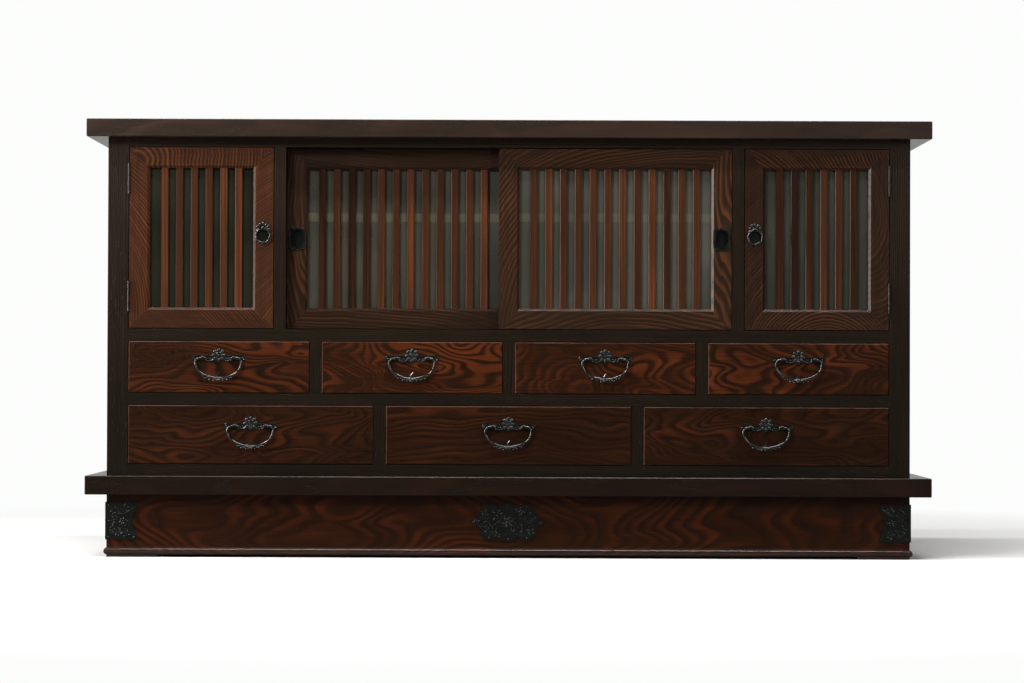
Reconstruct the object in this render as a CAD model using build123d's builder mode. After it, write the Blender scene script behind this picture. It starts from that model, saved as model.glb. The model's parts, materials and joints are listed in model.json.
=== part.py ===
"""Mizuya kitchen cabinet: a low chest of drawers and latticed cupboards on a plinth.

Millimetres, +X to the right, +Z up, and the front faces -Y. The origin is on the floor, under the middle
of the top board. Each node is written as one STEP file, with every board, bar and fitting its own solid.
"""

import os
from math import cos, radians, sin

from build123d import *

# --- Driving sizes ---------------------------------------------------------------------------------

# Overall boards
TOP_W, TOP_D, TOP_T = 1800.0, 450.0, 38.0  # top board: length, depth, thickness
WAIST_T = 40.0  # waist board between the case and the plinth
SIDE_OVERHANG = 42.5  # how far the boards run past the case at each end
FRONT_OVERHANG = 30.0  # and in front of it
BOARD_ARRIS = 1.5  # eased edge of the two big boards
SEAT_GAP = 0.3  # between a moving piece and what it rests on or closes against

# Plinth
PAD_H, PAD_L, PAD_D, PAD_ROUND = 5.0, 115.0, 60.0, 20.0  # low pads under the corners
BEAD_H, BEAD_PROUD = 15.0, 5.5  # half-round moulding at the foot of the plinth
PLINTH_H, PLINTH_T = 114.0, 20.0
BEAD_ROUND = 7.0

# Face frame of the case
POST_W = 44.0
FRAME_D = 60.0  # depth of the posts and rails, front to back
MULLION_W = 25.0
BOTTOM_RAIL_H, MID_RAIL_H, DOOR_RAIL_H, TOP_RAIL_H = 24.0, 25.0, 26.0, 19.0
LOWER_DRAWER_H, UPPER_DRAWER_H, DOOR_BAY_H = 127.0, 112.0, 389.0
LOWER_DRAWERS, UPPER_DRAWERS = 3, 4
MIDDLE_BAY_W = 955.0  # the cupboard bay that the sliding doors close
RAIL_TENON, RAIL_TENON_SHOULDER, RAIL_TENON_T = 14.0, 4.0, 30.0
MULLION_TENON, MULLION_TENON_W, MULLION_TENON_T = 6.0, 13.0, 30.0

# Sides, back and inner boards
BACK_POST_D = 40.0
SIDE_RAIL_H = 45.0
PANEL_T, PANEL_SET_IN, PANEL_GROOVE = 10.0, 8.0, 6.0
BACK_BOARD_T, BACK_BATTEN_T, BACK_BATTEN_H, BACK_BOARDS = 9.0, 9.0, 60.0, 5
PARTITION_T = 18.0
FLOOR_T = 12.0
SHELF_T, SHELF_RISE, SHELF_SET_BACK = 17.0, 224.0, 15.0
BEARER = 15.0
RUNNER_OVER = 20.0  # how far a runner reaches under each drawer
GUIDE_H = 40.0
STOP_L, STOP_T, STOP_H = 30.0, 8.0, 3.0  # block that stops a closing drawer
DOOR_STOP_W, DOOR_STOP_D = 6.0, 10.0

# Doors
DOOR_MEMBER_W = 43.5  # stiles and rails, mitred at the corners
DOOR_CHAMFER = 5.0
DOOR_LIP = 12.0  # wood in front of the glass
RABBET_W = 7.0
GLASS_T, GLASS_PLAY = 3.0, 0.5
HINGED_T, SLIDING_T = 22.0, 20.0
HINGED_GAP = 1.5
BAR_W, BAR_T, BAR_ARRIS = 15.0, 7.0, 0.8
BAR_TENON, BAR_TENON_T = 5.0, 4.0
HINGED_BARS, SLIDING_BARS = 6, 12
SLIDE_SET_BACK, SLIDE_PASS, SLIDE_END_GAP, SLIDE_EDGE_GAP = 4.0, 3.0, 1.0, 1.5
GROOVE_W, GROOVE_DOWN, GROOVE_UP = 8.0, 3.5, 10.0
TONGUE_PLAY, TONGUE_LIFT = 0.5, 4.0  # play beside a tongue, and above it, so that a door lifts out

# Butt hinges
HINGE_L, HINGE_INSET, HINGE_LEAF_W, HINGE_LEAF_T = 64.0, 37.0, 24.0, 1.2
KNUCKLE_R, KNUCKLES, PIN_R, PIN_HEAD_R, PIN_HEAD_T, PIN_HEAD_FLATS = 2.5, 3, 1.2, 2.1, 1.2, 8
HINGE_PLAY = 0.3
KNUCKLE_STAND = 0.1  # between the knuckles and the face of the wood behind them

# Drawers
DRAWER_GAP = 1.0
DRAWER_FRONT_T, DRAWER_LAP, DRAWER_SIDE_T, DRAWER_BACK_T = 20.0, 8.0, 12.0, 10.0
DRAWER_BACK_GAP, DRAWER_SIDE_DROP = 17.0, 8.0  # free space behind a closed drawer and above its sides
DRAWER_BOTTOM_T, DRAWER_BOTTOM_RISE, DRAWER_GROOVE = 6.0, 5.0, 5.0
DRAWER_ARRIS = 1.5

# Drawer pulls
PULL_DROP_UPPER, PULL_DROP_LOWER = 37.0, 45.0  # pivot below the top of the drawer's opening
PLATE_T, PLATE_W, PLATE_H, PLATE_RISE, PLATE_CORNER = 2.0, 115.0, 11.0, 1.0, 3.2
CREST_PETALS, CREST_R, PETAL_R, PETAL_FLATS, CREST_RISE = 8, 11.0, 4.7, 8, 6.0
SCROLL_X, SCROLL_W, SCROLL_H, SCROLL_FLATS = 19.0, 22.0, 14.0, 12  # leaf that droops on each side
EYE_W, EYE_WALL, EYE_STAND, EYE_GAP, EYE_NECK = 7.0, 1.85, 0.6, 0.75, 7.5
ROD_R, ROD_FLATS, ROD_PLAY = 2.75, 8, 0.3
BAIL_W, BAIL_SHOULDER_R, BAIL_SIDE_R, BAIL_SIDE_TURN = 103.5, 11.0, 30.0, 58.0
BAIL_PIN_IN = 5.0
SHOULDER_FLATS, SIDE_FLATS, BOW_FLATS = 6, 6, 4  # straight lengths that each bend is forged in
LEAF_L, LEAF_R, LEAF_TAPER, BUD_L, BUD_R, BUD_TAPER = 17.0, 4.0, 8.0, 7.0, 4.6, 11.0  # middle of the grip
STEM_X, STEM_L, STEM_R, STEM_LEAN, STEM_TAPER = 10.0, 22.0, 1.3, 40.0, 2.0  # thin stem that leans over it

# Ring pulls
RING_R, RING_ROD_R, RING_FLATS, RING_BENDS, RING_RISE = 15.0, 2.2, 8, 32, 19.5
KNOB_R, KNOB_T, KNOB_OUT, KNOB_STEP = 2.3, 4.0, 1.5, 29.0  # three knobs at the foot of the ring
RING_PLATE_R, RING_PLATE_FLATS = 14.5, 24  # round back plate that shows through the ring
CROWN_PETALS, CROWN_R, CROWN_PETAL_R, CROWN_DROOP, ROSETTE_T = 7, 11.6, 4.0, 12.0, 2.0
RING_EYE_W, RING_EYE_WALL, RING_EYE_STAND, RING_EYE_NECK, RING_PLAY = 4.0, 1.65, 0.7, 6.0, 0.5

# Flush pulls
CUP_W, CUP_H, CUP_CORNER, CUP_ARCH = 36.5, 50.0, 8.0, 4.0
CUP_RIM, CUP_RIM_T, CUP_DEPTH, CUP_WALL, CUP_TAPER = 3.0, 1.2, 8.5, 1.2, 12.0

# Irons on the plinth
IRON_T, CORNER_IRON_L, CORNER_IRON_H, CORNER_NOTCH = 2.5, 68.0, 80.0, 15.0
CENTRE_IRON_W, CENTRE_IRON_H = 164.0, 84.0
# Points of the cartouche's upper left edge from its tip to its middle, as shares of half its width and height
CENTRE_IRON_EDGE = ((1.0, 0.0), (0.80, 0.22), (0.72, 0.55), (0.50, 0.92), (0.26, 0.74), (0.0, 1.0))

# --- Levels and lines worked out from the sizes ------------------------------------------------------

CASE_W = TOP_W - 2 * SIDE_OVERHANG
CASE_X = CASE_W / 2
INNER_X = CASE_X - POST_W
FRONT = FRONT_OVERHANG - TOP_D / 2
BACK = TOP_D / 2
FRAME_BACK = FRONT + FRAME_D
POST_BACK = BACK - BACK_POST_D
BOARD_BACK = BACK - BACK_BATTEN_T - BACK_BOARD_T  # inner face of the back
PANEL_IN = CASE_X - PANEL_SET_IN - PANEL_T  # inner face of a side panel

Z_BEAD = PAD_H
Z_PLINTH = Z_BEAD + BEAD_H
Z_WAIST = Z_PLINTH + PLINTH_H
Z_CASE = Z_WAIST + WAIST_T
Z_LOWER = Z_CASE + BOTTOM_RAIL_H
Z_MID_RAIL = Z_LOWER + LOWER_DRAWER_H
Z_UPPER = Z_MID_RAIL + MID_RAIL_H
Z_DOOR_RAIL = Z_UPPER + UPPER_DRAWER_H
Z_DOORS = Z_DOOR_RAIL + DOOR_RAIL_H
Z_TOP_RAIL = Z_DOORS + DOOR_BAY_H
Z_TOP = Z_TOP_RAIL + TOP_RAIL_H
Z_SHELF = Z_DOORS + SHELF_RISE

MIDDLE_X = MIDDLE_BAY_W / 2
PARTITION_X = MIDDLE_X + MULLION_W / 2
DOOR_MID_Z = Z_DOORS + DOOR_BAY_H / 2

# Fittings: how far each eye's centre stands out, and how far apart the two eyes of a drawer pull are
EYE_R = ROD_R + ROD_PLAY + EYE_WALL
PIVOT_OUT = PLATE_T + EYE_STAND + EYE_R
BAIL_SIDE_X = BAIL_W / 2 - ROD_R
EYE_X = BAIL_SIDE_X - BAIL_SHOULDER_R - EYE_GAP - EYE_W / 2
RING_EYE_R = RING_ROD_R + RING_PLAY + RING_EYE_WALL
RING_OUT = ROSETTE_T + RING_EYE_STAND + RING_EYE_R


def drawer_bays(count):
    """The left and right edge of each opening in a row of drawers."""
    width = (2 * INNER_X - (count - 1) * MULLION_W) / count
    lefts = [-INNER_X + i * (width + MULLION_W) for i in range(count)]
    return [(left, left + width) for left in lefts]


UPPER_BAYS = drawer_bays(UPPER_DRAWERS)
LOWER_BAYS = drawer_bays(LOWER_DRAWERS)


# --- Shared ways of making a piece -------------------------------------------------------------------


def front_plane(y, x=0.0, z=0.0):
    """A plane that faces forwards at depth y, with its own X to the right and its own Y up."""
    return Plane(origin=(x, y, z), x_dir=(1, 0, 0), z_dir=(0, -1, 0))


def block(low, high, mode=Mode.ADD):
    """Adds to the part being built, or cuts from it, a squared block between two corners."""
    with BuildSketch(Plane.XY.offset(min(low[2], high[2]))) as outline:
        with Locations(((low[0] + high[0]) / 2, (low[1] + high[1]) / 2)):
            Rectangle(abs(high[0] - low[0]), abs(high[1] - low[1]))
    extrude(outline.sketch, amount=abs(high[2] - low[2]), mode=mode)


def board(low, high, cuts=()):
    """A squared board between two corners, less the blocks that are cut from it."""
    with BuildPart() as piece:
        block(low, high)
        for cut in cuts:
            block(*cut, mode=Mode.SUBTRACT)
    return piece.part


def placed(piece, x, y, z):
    """A copy of a fitting with its own origin put at a point."""
    with BuildPart() as copy:
        with Locations((x, y, z)):
            add(piece)
    return copy.part


def eye(at_x, width, out, radius, bore, neck):
    """Adds to a back plate, on a neck, the eye that a bail or a ring turns in."""
    with BuildSketch(Plane.YZ.offset(at_x - width / 2)) as knuckle:
        with Locations((-out, 0)):
            Circle(radius)
        with Locations((-out / 2, 0)):
            Rectangle(out, neck)
        with Locations((-out, 0)):
            Circle(bore, mode=Mode.SUBTRACT)
    extrude(knuckle.sketch, amount=width)


def flats_round(centre, radius, start, turn, flats):
    """The points along a bend that is worked in straight flats, without the point where it starts."""
    angles = [radians(start + turn * i / flats) for i in range(1, flats + 1)]
    return [(centre[0] + radius * cos(angle), centre[1] + radius * sin(angle)) for angle in angles]


def write_node(label, *pieces):
    """Writes one sub-part, with its pieces side by side as separate solids."""
    node = pieces[0] if len(pieces) == 1 else Compound(children=list(pieces))
    node.label = label
    export_step(node, f"parts/{label}.step")


# --- Big boards --------------------------------------------------------------------------------------


def big_board(z, thickness):
    """A plank over the whole plan, with its arrises eased all round."""
    with BuildPart() as plank:
        with BuildSketch(Plane.XY.offset(z)):
            Rectangle(TOP_W, TOP_D)
        extrude(amount=thickness)
        chamfer(plank.edges(), BOARD_ARRIS)
    return plank.part


# --- Plinth ------------------------------------------------------------------------------------------


def mitred_boards(proud, thickness, z_low, height, rounding=0.0):
    """Four boards round the plinth, mitred at the corners and proud of it at the front and ends."""
    out_x, out_front = CASE_X + proud, FRONT - proud
    in_x, in_front, in_back = CASE_X - thickness, FRONT + thickness, BACK - thickness
    outer = [(-out_x, out_front), (out_x, out_front), (out_x, BACK), (-out_x, BACK)]
    inner = [(-in_x, in_front), (in_x, in_front), (in_x, in_back), (-in_x, in_back)]
    boards = []
    for i in range(4):
        j = (i + 1) % 4
        with BuildPart() as strip:
            with BuildSketch(Plane.XY.offset(z_low)):
                with BuildLine():
                    Polyline(outer[i], outer[j], inner[j], inner[i], close=True)
                make_face()
            extrude(amount=height)
            if rounding and i != 2:
                along = Axis.X if i == 0 else Axis.Y
                face = strip.faces().filter_by(along, reverse=True).sort_by_distance(
                    ((outer[i][0] + outer[j][0]) / 2, (outer[i][1] + outer[j][1]) / 2, z_low + height / 2)
                )[0]
                fillet(face.edges().filter_by(along), rounding)
        boards.append(strip.part)
    return boards


def pad(side_x, y_low, y_high):
    """A low pad under a corner, with its inner end rounded off in plan."""
    with BuildPart() as foot:
        block((side_x * CASE_X, y_low, 0), (side_x * (CASE_X - PAD_L), y_high, PAD_H))
        inner_end = foot.edges().filter_by(Axis.Z).group_by(Axis.X)[0 if side_x > 0 else -1]
        fillet(inner_end, PAD_ROUND)
    return foot.part


def corner_iron(side_x):
    """A strap bent round a front corner of the plinth, with a swallow-tail at both ends."""
    mid_z = Z_PLINTH + PLINTH_H / 2
    half, run, notch = CORNER_IRON_H / 2, CORNER_IRON_L, CORNER_NOTCH
    tail = [(0, -half), (run, -half), (run - notch, 0), (run, half), (0, half)]
    on_front = Plane(origin=(side_x * CASE_X, FRONT, mid_z), x_dir=(-side_x, 0, 0), z_dir=(0, -1, 0))
    on_side = Plane(origin=(side_x * CASE_X, FRONT, mid_z), x_dir=(0, 1, 0), z_dir=(side_x, 0, 0))
    with BuildPart() as strap:
        for face_plane in (on_front, on_side):
            # The tail is the same upside down, so it doesn't matter which way the plane's own Y points
            with BuildSketch(face_plane):
                with BuildLine():
                    Polyline(*tail, close=True)
                make_face()
            extrude(amount=IRON_T)
        block(
            (side_x * CASE_X, FRONT - IRON_T, mid_z - half),
            (side_x * (CASE_X + IRON_T), FRONT, mid_z + half),
        )
    return strap.part


def centre_iron():
    """A flat cartouche in the middle of the plinth, scalloped above and below and pointed at the ends."""
    quarter = [(x * CENTRE_IRON_W / 2, z * CENTRE_IRON_H / 2) for x, z in CENTRE_IRON_EDGE]
    with BuildPart() as plate:
        with BuildSketch(front_plane(FRONT, 0, Z_PLINTH + PLINTH_H / 2)):
            with BuildLine():
                for up in (1, -1):
                    left = [(-x, up * z) for x, z in quarter]
                    right = [(x, up * z) for x, z in reversed(quarter[:-1])]
                    points = left + right
                    for i in range(0, len(points) - 1, 2):
                        ThreePointArc(*points[i : i + 3])
            make_face()
        extrude(amount=IRON_T)
    return plate.part


# --- Case --------------------------------------------------------------------------------------------

RAIL_SPANS = [
    (Z_CASE, Z_LOWER),
    (Z_MID_RAIL, Z_UPPER),
    (Z_DOOR_RAIL, Z_DOORS),
    (Z_TOP_RAIL, Z_TOP),
]


def rail_tenon(side_x, z_low, z_high):
    """The tenon at one end of a front rail, as two corners."""
    y_mid = FRONT + FRAME_D / 2
    low = (side_x * INNER_X, y_mid - RAIL_TENON_T / 2, z_low + RAIL_TENON_SHOULDER)
    high = (side_x * (INNER_X + RAIL_TENON), y_mid + RAIL_TENON_T / 2, z_high - RAIL_TENON_SHOULDER)
    return low, high


def mullion_lines():
    """Each upright of the face frame: its middle line, and the levels it stands between."""
    lower = [(right + MULLION_W / 2, Z_LOWER, Z_MID_RAIL) for _, right in LOWER_BAYS[:-1]]
    upper = [(right + MULLION_W / 2, Z_UPPER, Z_DOOR_RAIL) for _, right in UPPER_BAYS[:-1]]
    doors = [(side_x * PARTITION_X, Z_DOORS, Z_TOP_RAIL) for side_x in (-1, 1)]
    return lower + upper + doors


def mullion_tenons(x, z_low, z_high):
    """The stub tenons at the foot and head of an upright, as pairs of corners."""
    y_mid = FRONT + FRAME_D / 2
    left, right = x - MULLION_TENON_W / 2, x + MULLION_TENON_W / 2
    near, far = y_mid - MULLION_TENON_T / 2, y_mid + MULLION_TENON_T / 2
    foot = ((left, near, z_low - MULLION_TENON), (right, far, z_low))
    head = ((left, near, z_high), (right, far, z_high + MULLION_TENON))
    return [foot, head]


def sliding_lines():
    """The front face of the front sliding door and of the rear one."""
    front_door = FRONT + SLIDE_SET_BACK
    return front_door, front_door + SLIDING_T + SLIDE_PASS


def track_grooves():
    """The grooves that the sliding doors run in, as pairs of corners: two in the sill and two in the head."""
    grooves = []
    for y_face in sliding_lines():
        near = y_face + (SLIDING_T - GROOVE_W) / 2
        far = near + GROOVE_W
        grooves.append(((-MIDDLE_X, near, Z_DOORS - GROOVE_DOWN), (MIDDLE_X, far, Z_DOORS)))
        grooves.append(((-MIDDLE_X, near, Z_TOP_RAIL), (MIDDLE_X, far, Z_TOP_RAIL + GROOVE_UP)))
    return grooves


def front_rail(z_low, z_high):
    """A rail between the front posts, tenoned into them, with mortises and tracks cut where they fall."""
    with BuildPart() as rail:
        block((-INNER_X, FRONT, z_low), (INNER_X, FRAME_BACK, z_high))
        for side_x in (-1, 1):
            block(*rail_tenon(side_x, z_low, z_high))
        for line in mullion_lines():
            for low, high in mullion_tenons(*line):
                if z_low <= low[2] and high[2] <= z_high:
                    block(low, high, mode=Mode.SUBTRACT)
        for low, high in track_grooves():
            if z_low <= low[2] and high[2] <= z_high:
                block(low, high, mode=Mode.SUBTRACT)
    return rail.part


def mullion(x, z_low, z_high):
    """An upright of the face frame with a stub tenon at each end."""
    with BuildPart() as upright:
        block((x - MULLION_W / 2, FRONT, z_low), (x + MULLION_W / 2, FRAME_BACK, z_high))
        for tenon in mullion_tenons(x, z_low, z_high):
            block(*tenon)
    return upright.part


def door_stop(side_x):
    """The strip on a cupboard upright that the hinged door closes against."""
    face_x = MIDDLE_X + MULLION_W
    near = FRONT + HINGED_T + SEAT_GAP
    return board(
        (side_x * face_x, near, Z_DOORS),
        (side_x * (face_x + DOOR_STOP_W), near + DOOR_STOP_D, Z_TOP_RAIL),
    )


def hinge_levels():
    """The lower end of each of the two hinges on a door."""
    return Z_DOORS + HINGE_INSET, Z_TOP_RAIL - HINGE_INSET - HINGE_L


def hinge_axis(side_x):
    """The line of a hinged door's pins, in plan."""
    return side_x * (INNER_X - HINGED_GAP / 2), FRONT - KNUCKLE_R - KNUCKLE_STAND


def leaf_corners(side_x, door_side, z_low):
    """The flat of one hinge leaf, as two corners. The door's leaf lies towards the middle of the case."""
    axis_x, axis_y = hinge_axis(side_x)
    inward = -side_x if door_side else side_x
    near_x = axis_x + inward * HINGE_PLAY / 2
    low_y = axis_y + KNUCKLE_R + HINGE_PLAY
    low = (near_x, low_y, z_low)
    high = (near_x + inward * HINGE_LEAF_T, low_y + HINGE_LEAF_W, z_low + HINGE_L)
    return low, high


def leaf_pocket(side_x, door_side, z_low):
    """The shallow pocket, open at the front, that a hinge leaf is let into."""
    (x_near, _, z_foot), high = leaf_corners(side_x, door_side, z_low)
    return (x_near, FRONT, z_foot), high


def front_post(side_x):
    """A front corner post: mortised for the rails, grooved for the side panels and let in for the hinges."""
    outer, groove_x = side_x * CASE_X, side_x * (CASE_X - PANEL_SET_IN)
    with BuildPart() as post:
        block((outer, FRONT, Z_CASE), (side_x * INNER_X, FRAME_BACK, Z_TOP))
        for z_low, z_high in RAIL_SPANS:
            block(*rail_tenon(side_x, z_low, z_high), mode=Mode.SUBTRACT)
        block(
            (groove_x, FRAME_BACK - PANEL_GROOVE, Z_CASE),
            (side_x * PANEL_IN, FRAME_BACK, Z_TOP),
            mode=Mode.SUBTRACT,
        )
        for z_low in hinge_levels():
            block(*leaf_pocket(side_x, False, z_low), mode=Mode.SUBTRACT)
    return post.part


def side_rail_spans():
    """The lower and upper level of the three rails in each side of the case."""
    return [
        (Z_CASE, Z_CASE + SIDE_RAIL_H),
        (Z_DOORS - SIDE_RAIL_H, Z_DOORS),
        (Z_TOP - SIDE_RAIL_H, Z_TOP),
    ]


def case_side(side_x):
    """One side of the case: two posts, three rails and the two panels that they hold in grooves."""
    outer, inner = side_x * CASE_X, side_x * INNER_X
    groove_x, panel_x = side_x * (CASE_X - PANEL_SET_IN), side_x * PANEL_IN
    post_groove = ((groove_x, POST_BACK, Z_CASE), (panel_x, POST_BACK + PANEL_GROOVE, Z_TOP))
    pieces = [front_post(side_x), board((outer, POST_BACK, Z_CASE), (inner, BACK, Z_TOP), [post_groove])]
    spans = side_rail_spans()
    for i, (z_low, z_high) in enumerate(spans):
        grooves = []
        if i > 0:
            grooves.append(((groove_x, FRAME_BACK, z_low), (panel_x, POST_BACK, z_low + PANEL_GROOVE)))
        if i < 2:
            grooves.append(((groove_x, FRAME_BACK, z_high - PANEL_GROOVE), (panel_x, POST_BACK, z_high)))
        pieces.append(board((outer, FRAME_BACK, z_low), (inner, POST_BACK, z_high), grooves))
    for (_, z_below), (z_above, _) in zip(spans[:-1], spans[1:]):
        pieces.append(
            board(
                (groove_x, FRAME_BACK - PANEL_GROOVE, z_below - PANEL_GROOVE),
                (panel_x, POST_BACK + PANEL_GROOVE, z_above + PANEL_GROOVE),
            )
        )
    return pieces


def back_pieces():
    """The upright boards of the back and the three battens that hold them together."""
    width = 2 * INNER_X / BACK_BOARDS
    boards = [
        board(
            (-INNER_X + i * width, BOARD_BACK, Z_CASE),
            (-INNER_X + (i + 1) * width, BOARD_BACK + BACK_BOARD_T, Z_TOP),
        )
        for i in range(BACK_BOARDS)
    ]
    levels = (Z_CASE, Z_DOORS - BACK_BATTEN_H / 2, Z_TOP - BACK_BATTEN_H)
    battens = [
        board((-INNER_X, BOARD_BACK + BACK_BOARD_T, z), (INNER_X, BACK, z + BACK_BATTEN_H)) for z in levels
    ]
    return boards + battens


def partitions():
    """The two upright boards that part the cupboards, behind their mullions."""
    half = PARTITION_T / 2
    return [
        board((x - half, FRAME_BACK, Z_DOORS), (x + half, BOARD_BACK, Z_TOP))
        for x in (-PARTITION_X, PARTITION_X)
    ]


def cupboard_boards():
    """The cupboards' floor, their three shelves and the bearers that these rest on."""
    floor = board((-INNER_X, FRAME_BACK, Z_DOORS - FLOOR_T), (INNER_X, BOARD_BACK, Z_DOORS))
    shelf_front, shelf_top = FRAME_BACK + SHELF_SET_BACK, Z_SHELF + SHELF_T
    part_in, part_out = PARTITION_X - PARTITION_T / 2, PARTITION_X + PARTITION_T / 2
    pieces = [floor, board((-part_in, shelf_front, Z_SHELF), (part_in, BOARD_BACK, shelf_top))]
    for side_x in (-1, 1):
        shelf_end = (side_x * PANEL_IN, BOARD_BACK, shelf_top)
        notch = ((side_x * INNER_X, POST_BACK, Z_SHELF), shelf_end)
        pieces.append(board((side_x * part_out, shelf_front, Z_SHELF), shelf_end, [notch]))
        for wall_x, inward in ((part_in, -1), (part_out, 1), (PANEL_IN, -1)):
            pieces.append(
                board(
                    (side_x * wall_x, shelf_front, Z_SHELF - BEARER),
                    (side_x * (wall_x + inward * BEARER), POST_BACK, Z_SHELF),
                )
            )
    return pieces


def drawer_runners():
    """The runners under the drawers, the guides between them and the blocks that stop them."""
    pieces = []
    for bays, z_low, z_run in ((LOWER_BAYS, Z_CASE, Z_LOWER), (UPPER_BAYS, Z_MID_RAIL, Z_UPPER)):
        for side_x in (-1, 1):
            inner, outer = side_x * (INNER_X - RUNNER_OVER), side_x * INNER_X
            pieces.append(board((inner, FRAME_BACK, z_low), (outer, BOARD_BACK, z_run)))
            # The lower row's end guide stands on the side rail, and the upper one's is fixed to the panel
            z_guide = max(z_run, Z_CASE + SIDE_RAIL_H)
            guide_far = (side_x * PANEL_IN, POST_BACK, z_guide + GUIDE_H)
            pieces.append(board((outer, FRAME_BACK, z_guide), guide_far))
        for _, right in bays[:-1]:
            left_edge, right_edge = right, right + MULLION_W
            pieces.append(
                board(
                    (left_edge - RUNNER_OVER, FRAME_BACK, z_low),
                    (right_edge + RUNNER_OVER, BOARD_BACK, z_run),
                )
            )
            pieces.append(board((left_edge, FRAME_BACK, z_run), (right_edge, BOARD_BACK, z_run + GUIDE_H)))
        stop_front = FRONT + DRAWER_FRONT_T + SEAT_GAP
        for left, right in bays:
            for x in ((3 * left + right) / 4, (left + 3 * right) / 4):
                pieces.append(
                    board(
                        (x - STOP_L / 2, stop_front, z_run),
                        (x + STOP_L / 2, stop_front + STOP_T, z_run + STOP_H),
                    )
                )
    return pieces


# --- Doors -------------------------------------------------------------------------------------------


def bar_lines(width, bars):
    """The middle line of each lattice bar, measured from the door's middle, evenly spaced in the opening."""
    pitch = (width - 2 * DOOR_MEMBER_W) / (bars + 1)
    return [pitch * (i - (bars - 1) / 2) for i in range(bars)]


def corners(left, right, low, high):
    """The corners of an upright rectangle, from its lower left one and against the clock."""
    return [(left, low), (right, low), (right, high), (left, high)]


class Door:
    """The sizes and place of one latticed door, from which its pieces are made."""

    def __init__(self, left, right, low, high, y_face, thickness, bars):
        self.left, self.right, self.low, self.high = left, right, low, high
        self.y_face, self.thickness = y_face, thickness
        self.bar_x = [(left + right) / 2 + x for x in bar_lines(right - left, bars)]
        self.open_x = (left + DOOR_MEMBER_W, right - DOOR_MEMBER_W)
        self.open_z = (low + DOOR_MEMBER_W, high - DOOR_MEMBER_W)

    def opening(self, margin, y_near, y_far):
        """The opening widened by a margin, between two depths, as two corners."""
        low = (self.open_x[0] - margin, y_near, self.open_z[0] - margin)
        high = (self.open_x[1] + margin, y_far, self.open_z[1] + margin)
        return low, high

    def members(self, cuts=(), tongues=()):
        """Stiles and rails, mitred, chamfered round the opening, rabbeted for the glass and mortised."""
        outer = corners(self.left, self.right, self.low, self.high)
        inner = corners(*self.open_x, *self.open_z)
        y_back = self.y_face + self.thickness
        made = []
        for i in range(4):
            j = (i + 1) % 4
            with BuildPart() as member:
                with BuildSketch(front_plane(y_back)):
                    with BuildLine():
                        Polyline(outer[i], outer[j], inner[j], inner[i], close=True)
                    make_face()
                extrude(amount=self.thickness)
                middle = ((inner[i][0] + inner[j][0]) / 2, self.y_face, (inner[i][1] + inner[j][1]) / 2)
                chamfer(member.edges().sort_by_distance(middle)[0], DOOR_CHAMFER)
                block(*self.opening(RABBET_W, self.y_face + DOOR_LIP, y_back), mode=Mode.SUBTRACT)
                if i in (0, 2):
                    for x in self.bar_x:
                        block(*self.bar_tenon(x, i == 2), mode=Mode.SUBTRACT)
                for at, low, high in tongues:
                    if at == i:
                        block(low, high)
                for at, low, high in cuts:
                    if at == i:
                        block(low, high, mode=Mode.SUBTRACT)
            made.append(member.part)
        return made

    def glass_beads(self):
        """Four strips that hold the glass in its rabbet from behind."""
        near, far = self.y_face + DOOR_LIP + GLASS_T, self.y_face + self.thickness
        (x0, _, z0), (x1, _, z1) = self.opening(RABBET_W, near, far)
        inner_z0, inner_z1 = self.open_z
        return [
            board((x0, near, z0), (x1, far, inner_z0)),
            board((x0, near, inner_z1), (x1, far, z1)),
            board((x0, near, inner_z0), (self.open_x[0], far, inner_z1)),
            board((self.open_x[1], near, inner_z0), (x1, far, inner_z1)),
        ]

    def glass(self):
        """The pane, with a little play in its rabbet."""
        near = self.y_face + DOOR_LIP
        return board(*self.opening(RABBET_W - GLASS_PLAY, near, near + GLASS_T))

    def bar_tenon(self, x, at_top):
        """The tenon at one end of a bar, as two corners."""
        y_near = self.y_face + DOOR_CHAMFER + (BAR_T - BAR_TENON_T) / 2
        shoulder = self.open_z[1] if at_top else self.open_z[0]
        tip = shoulder + (BAR_TENON if at_top else -BAR_TENON)
        return (x - BAR_W / 2, y_near, shoulder), (x + BAR_W / 2, y_near + BAR_TENON_T, tip)

    def lattice(self):
        """The upright bars, with their front arrises eased and a tenon at each end."""
        near = self.y_face + DOOR_CHAMFER
        bars = []
        for x in self.bar_x:
            with BuildPart() as bar:
                block((x - BAR_W / 2, near, self.open_z[0]), (x + BAR_W / 2, near + BAR_T, self.open_z[1]))
                chamfer(bar.faces().sort_by(Axis.Y)[0].edges().filter_by(Axis.Z), BAR_ARRIS)
                for at_top in (False, True):
                    block(*self.bar_tenon(x, at_top))
            bars.append(bar.part)
        return bars


def hinged_door(side_x):
    """The hinged door at one end of the case."""
    near_x, far_x = MIDDLE_X + MULLION_W + HINGED_GAP, INNER_X - HINGED_GAP
    left, right = sorted((side_x * near_x, side_x * far_x))
    return Door(left, right, Z_DOORS + HINGED_GAP, Z_TOP_RAIL - HINGED_GAP, FRONT, HINGED_T, HINGED_BARS)


def sliding_door(side_x):
    """The right sliding door runs in the front track and the left one behind it, lapped by one stile."""
    width = (MIDDLE_BAY_W - 2 * SLIDE_END_GAP + DOOR_MEMBER_W) / 2
    far_x = MIDDLE_X - SLIDE_END_GAP
    left, right = sorted((side_x * far_x, side_x * (far_x - width)))
    y_face = sliding_lines()[0 if side_x > 0 else 1]
    low, high = Z_DOORS + SLIDE_EDGE_GAP, Z_TOP_RAIL - SLIDE_EDGE_GAP
    return Door(left, right, low, high, y_face, SLIDING_T, SLIDING_BARS)


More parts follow.
